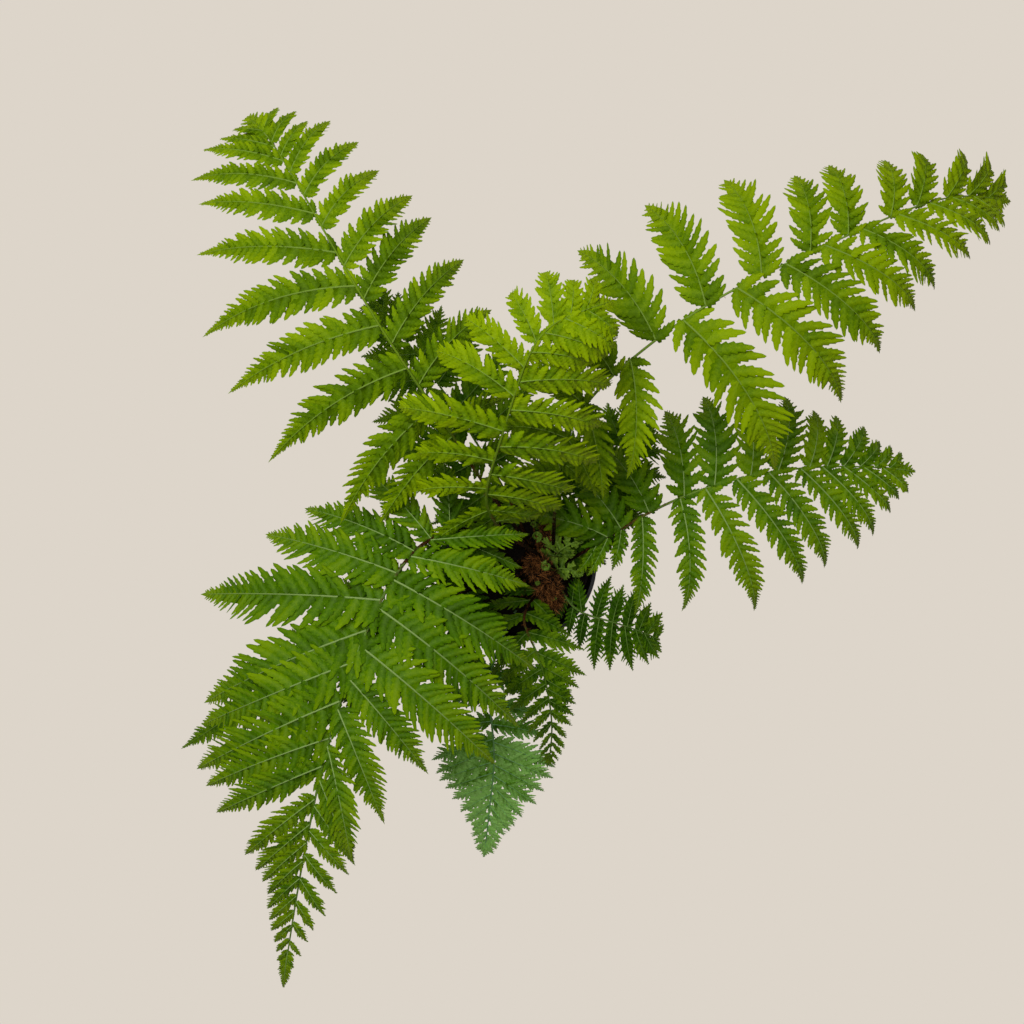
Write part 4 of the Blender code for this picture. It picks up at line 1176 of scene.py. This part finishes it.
def grown_crown():
    """The trunk with its stumps and scales."""
    growth = Growth()
    draw = np.random.default_rng(5)
    bumps = draw.uniform(*CROWN_BUMPS, (len(CROWN_PROFILE), CROWN_SIDES))
    line = [
        (CROWN_CENTRE + Vector((0, 0, height * MM)), Vector((1, 0, 0)), Vector((0, 1, 0)))
        for _, height in CROWN_PROFILE
    ]

    def section(i):
        turns = [math.tau * k / CROWN_SIDES for k in range(CROWN_SIDES)]
        radius = CROWN_PROFILE[i][0] * MM
        return [(radius * b * math.cos(t), radius * b * math.sin(t)) for t, b in zip(turns, bumps[i])]

    marks = np.zeros((len(CROWN_PROFILE) * CROWN_SIDES + 1, 4))
    marks[:, 0] = -0.2
    marks[:, 2] = 1.0
    put_rib(growth, line, section, marks, CROWN_CENTRE + Vector((0, 0, CROWN_TOP * MM)))
    marks = np.zeros((len(STUMP_RADII) * STUMP_SIDES + 1, 4))
    marks[:, 0] = 0.45
    marks[:, 2] = 1.0
    for k in range(STUMPS):
        turn = math.tau * k * STUMP_TURN
        out = Vector((math.cos(turn), math.sin(turn), 0))
        height = (STUMP_FOOT + STUMP_CLIMB * k) * MM
        foot = CROWN_CENTRE + out * STUMP_CIRCLE * MM + Vector((0, 0, height))
        heading = (out + Vector((0, 0, 1.1))).normalized()
        side = heading.cross(out).normalized()
        up = side.cross(heading)
        stump = [(foot + heading * step * STUMP_STEP * MM, side, up) for step in range(len(STUMP_RADII))]
        tip = stump[-1][0] + heading * 0.4 * MM
        put_rib(growth, stump, lambda i: round_section(STUMP_RADII[i], STUMP_SIDES), marks, tip)
    radii, heights = np.array(CROWN_PROFILE).T
    at = draw.uniform(*SCALES_HEIGHT, CROWN_SCALES)
    turn = draw.uniform(0, math.tau, CROWN_SCALES)
    away = np.interp(at, heights, radii) * 0.95
    out = np.stack([np.cos(turn), np.sin(turn), np.zeros(CROWN_SCALES)], axis=1)
    feet = np.array(CROWN_CENTRE) + out * away[:, None] * MM + np.array(UP) * at[:, None] * MM
    towards = out + np.array(UP) * draw.uniform(*SCALES_RISE, CROWN_SCALES)[:, None]
    towards /= np.linalg.norm(towards, axis=1)[:, None]
    size = draw.uniform(*SCALES_SIZE, CROWN_SCALES) * MM
    put_slivers(growth, feet, towards, size, 0.07 * size, draw.uniform(-0.2, 0.3, CROWN_SCALES), draw)
    return growth.piece("crown_grown", CROWN_CHAFF)


# Papery chaff, with a little more sheen than the leaves, so that single scales stand out.
CROWN_CHAFF = fern_leaf(
    "chaffy_crown_scales", "#163400", "#406C00", "#7CA40C", "#7A9C48", "#52741C", shine=0.2
)
crown = grown_crown()
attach(crown, "root")
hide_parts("crown")

# The croziers: young fronds still rolled up like a watch spring, in a coat of ginger wool. Tightly rolled
# grey-green leaf buds show at the heart of each coil.
# Each crozier, in mm: its foot on the crown, the centre of its coil, the radius of the coil's outer turn and
# of its woolly stalk, where the coil starts and how far it leans over (both in degrees), the radius of its
# green buds and their place.
CROZIERS = {
    "crozier_left": dict(
        foot=(22, -8, 162), centre=(18, 1, 204), coil=10.0, stalk=4.8, start=235, lean=18,
        bud=5.8, bud_at=(28, 0, 212),
    ),
    "crozier_front": dict(
        foot=(31, -14, 162), centre=(31, -24, 194), coil=11.0, stalk=5.2, start=80, lean=24,
        bud=3.0, bud_at=(19, -18, 205),
    ),
    "crozier_low": dict(
        foot=(34, -24, 156), centre=(36, -39, 178), coil=7.5, stalk=4.2, start=100, lean=30,
        bud=3.8, bud_at=(36, -35, 188),
    ),
    "crozier_back": dict(
        foot=(26, 18, 156), centre=(31, 37, 186), coil=8.0, stalk=4.2, start=260, lean=26,
        bud=2.4, bud_at=(31, 37, 190),
    ),
}
COIL_TURNS = 1.6
COIL_CLOSING = 0.62
COIL_STEPS = 40
RISE_STEPS = 10
CROZIER_SEED = 70
# Wool strands about half a mm broad, coarser than real ones so that they show. Some of them are pale and
# broader: the wool's own pale hairs with painted highlights on them.
WOOL = 3000
WOOL_LENGTH, WOOL_WIDTH, WOOL_LEAST = (3.0, 9.0), 0.03, 0.12 * MM
WOOL_TONES, PALE_HAIR_AND_HIGHLIGHT, PALE_HAIR_AND_HIGHLIGHT_SHARE, PALE_HAIR_AND_HIGHLIGHT_WIDTH = (-0.8, 1.1), 1.8, 0.14, 1.7


def crozier_path(shape):
    """The middle line of a crozier with its radii: the stalk from its foot up, then the coil inwards."""
    centre = Vector(shape["centre"]) * MM
    outwards = (centre - CROWN_CENTRE) * Vector((1, 1, 0))
    lean = Matrix.Rotation(-math.radians(shape["lean"]), 3, outwards.cross(UP))
    foot = Vector(shape["foot"]) * MM
    coil, thick = shape["coil"] * MM, shape["stalk"] * MM
    turns = []
    for step in range(COIL_STEPS + 1):
        done = step / COIL_STEPS
        turn = math.radians(shape["start"]) + math.tau * COIL_TURNS * done
        flat = Vector((math.cos(turn), math.sin(turn), 0.3 * done))
        turns.append(centre + lean @ flat * coil * (1 - COIL_CLOSING * done))
    middle = foot.lerp(turns[0], 0.5) + Vector((0, 0, 3)) * MM
    rise, _ = smooth_route([foot, middle, turns[0]], RISE_STEPS)
    path = [Vector(point) for point in rise[:-1]] + turns
    radii = [thick * (0.85 + 0.15 * i / RISE_STEPS) for i in range(RISE_STEPS)]
    radii += [thick * (1 - 0.45 * i / COIL_STEPS) for i in range(len(turns))]
    return path, radii, lean @ UP


def grown_crozier(name, shape, seed):
    """A crozier: cord, wool and buds."""
    growth = Growth()
    draw = np.random.default_rng(seed)
    path, radii, axis = crozier_path(shape)
    put_rope(growth, path, [0.82 * radius for radius in radii], axis, -0.2, 1.0, 0.0)
    index = draw.integers(1, len(path) - 1, WOOL)
    spots = np.array([tuple(point) for point in path])
    along = np.gradient(spots, axis=0)
    along /= np.linalg.norm(along, axis=1)[:, None]
    feet, towards = skin_places(spots, along, radii, index, 0.8, 0.9, (-0.5, 1.3), draw)
    size = draw.uniform(*WOOL_LENGTH, WOOL) * MM
    # Pale strands, broader than the rest, are pale hairs with painted highlights.
    tone = np.where(draw.random(WOOL) < PALE_HAIR_AND_HIGHLIGHT_SHARE, PALE_HAIR_AND_HIGHLIGHT, draw.uniform(*WOOL_TONES, WOOL))
    width = (WOOL_WIDTH * size + WOOL_LEAST) * np.where(tone == PALE_HAIR_AND_HIGHLIGHT, PALE_HAIR_AND_HIGHLIGHT_WIDTH, 1.0)
    put_slivers(growth, feet, towards, size, width, tone, draw)
    centre, bud = Vector(shape["bud_at"]) * MM, shape["bud"]
    put_bud_coil(growth, centre, axis, bud * 0.85 * MM, bud * BUD_CORD * MM, seed, draw)
    return growth.piece(name + "_grown", WOOL_AND_BUDS)


# Ginger wool with a faint sheen, and leaf buds with the soft bloom of very young leaves.
WOOL_AND_BUDS = fern_leaf(
    "crozier_wool_and_buds", "#2E5210", "#7A9E28", "#A4C850", "#9CC064", "#7C9C58", shine=0.2
)
for seed, (name, shape) in enumerate(CROZIERS.items()):
    crozier = grown_crozier(name, shape, CROZIER_SEED + seed)
    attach(crozier, "root")
    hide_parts(name)
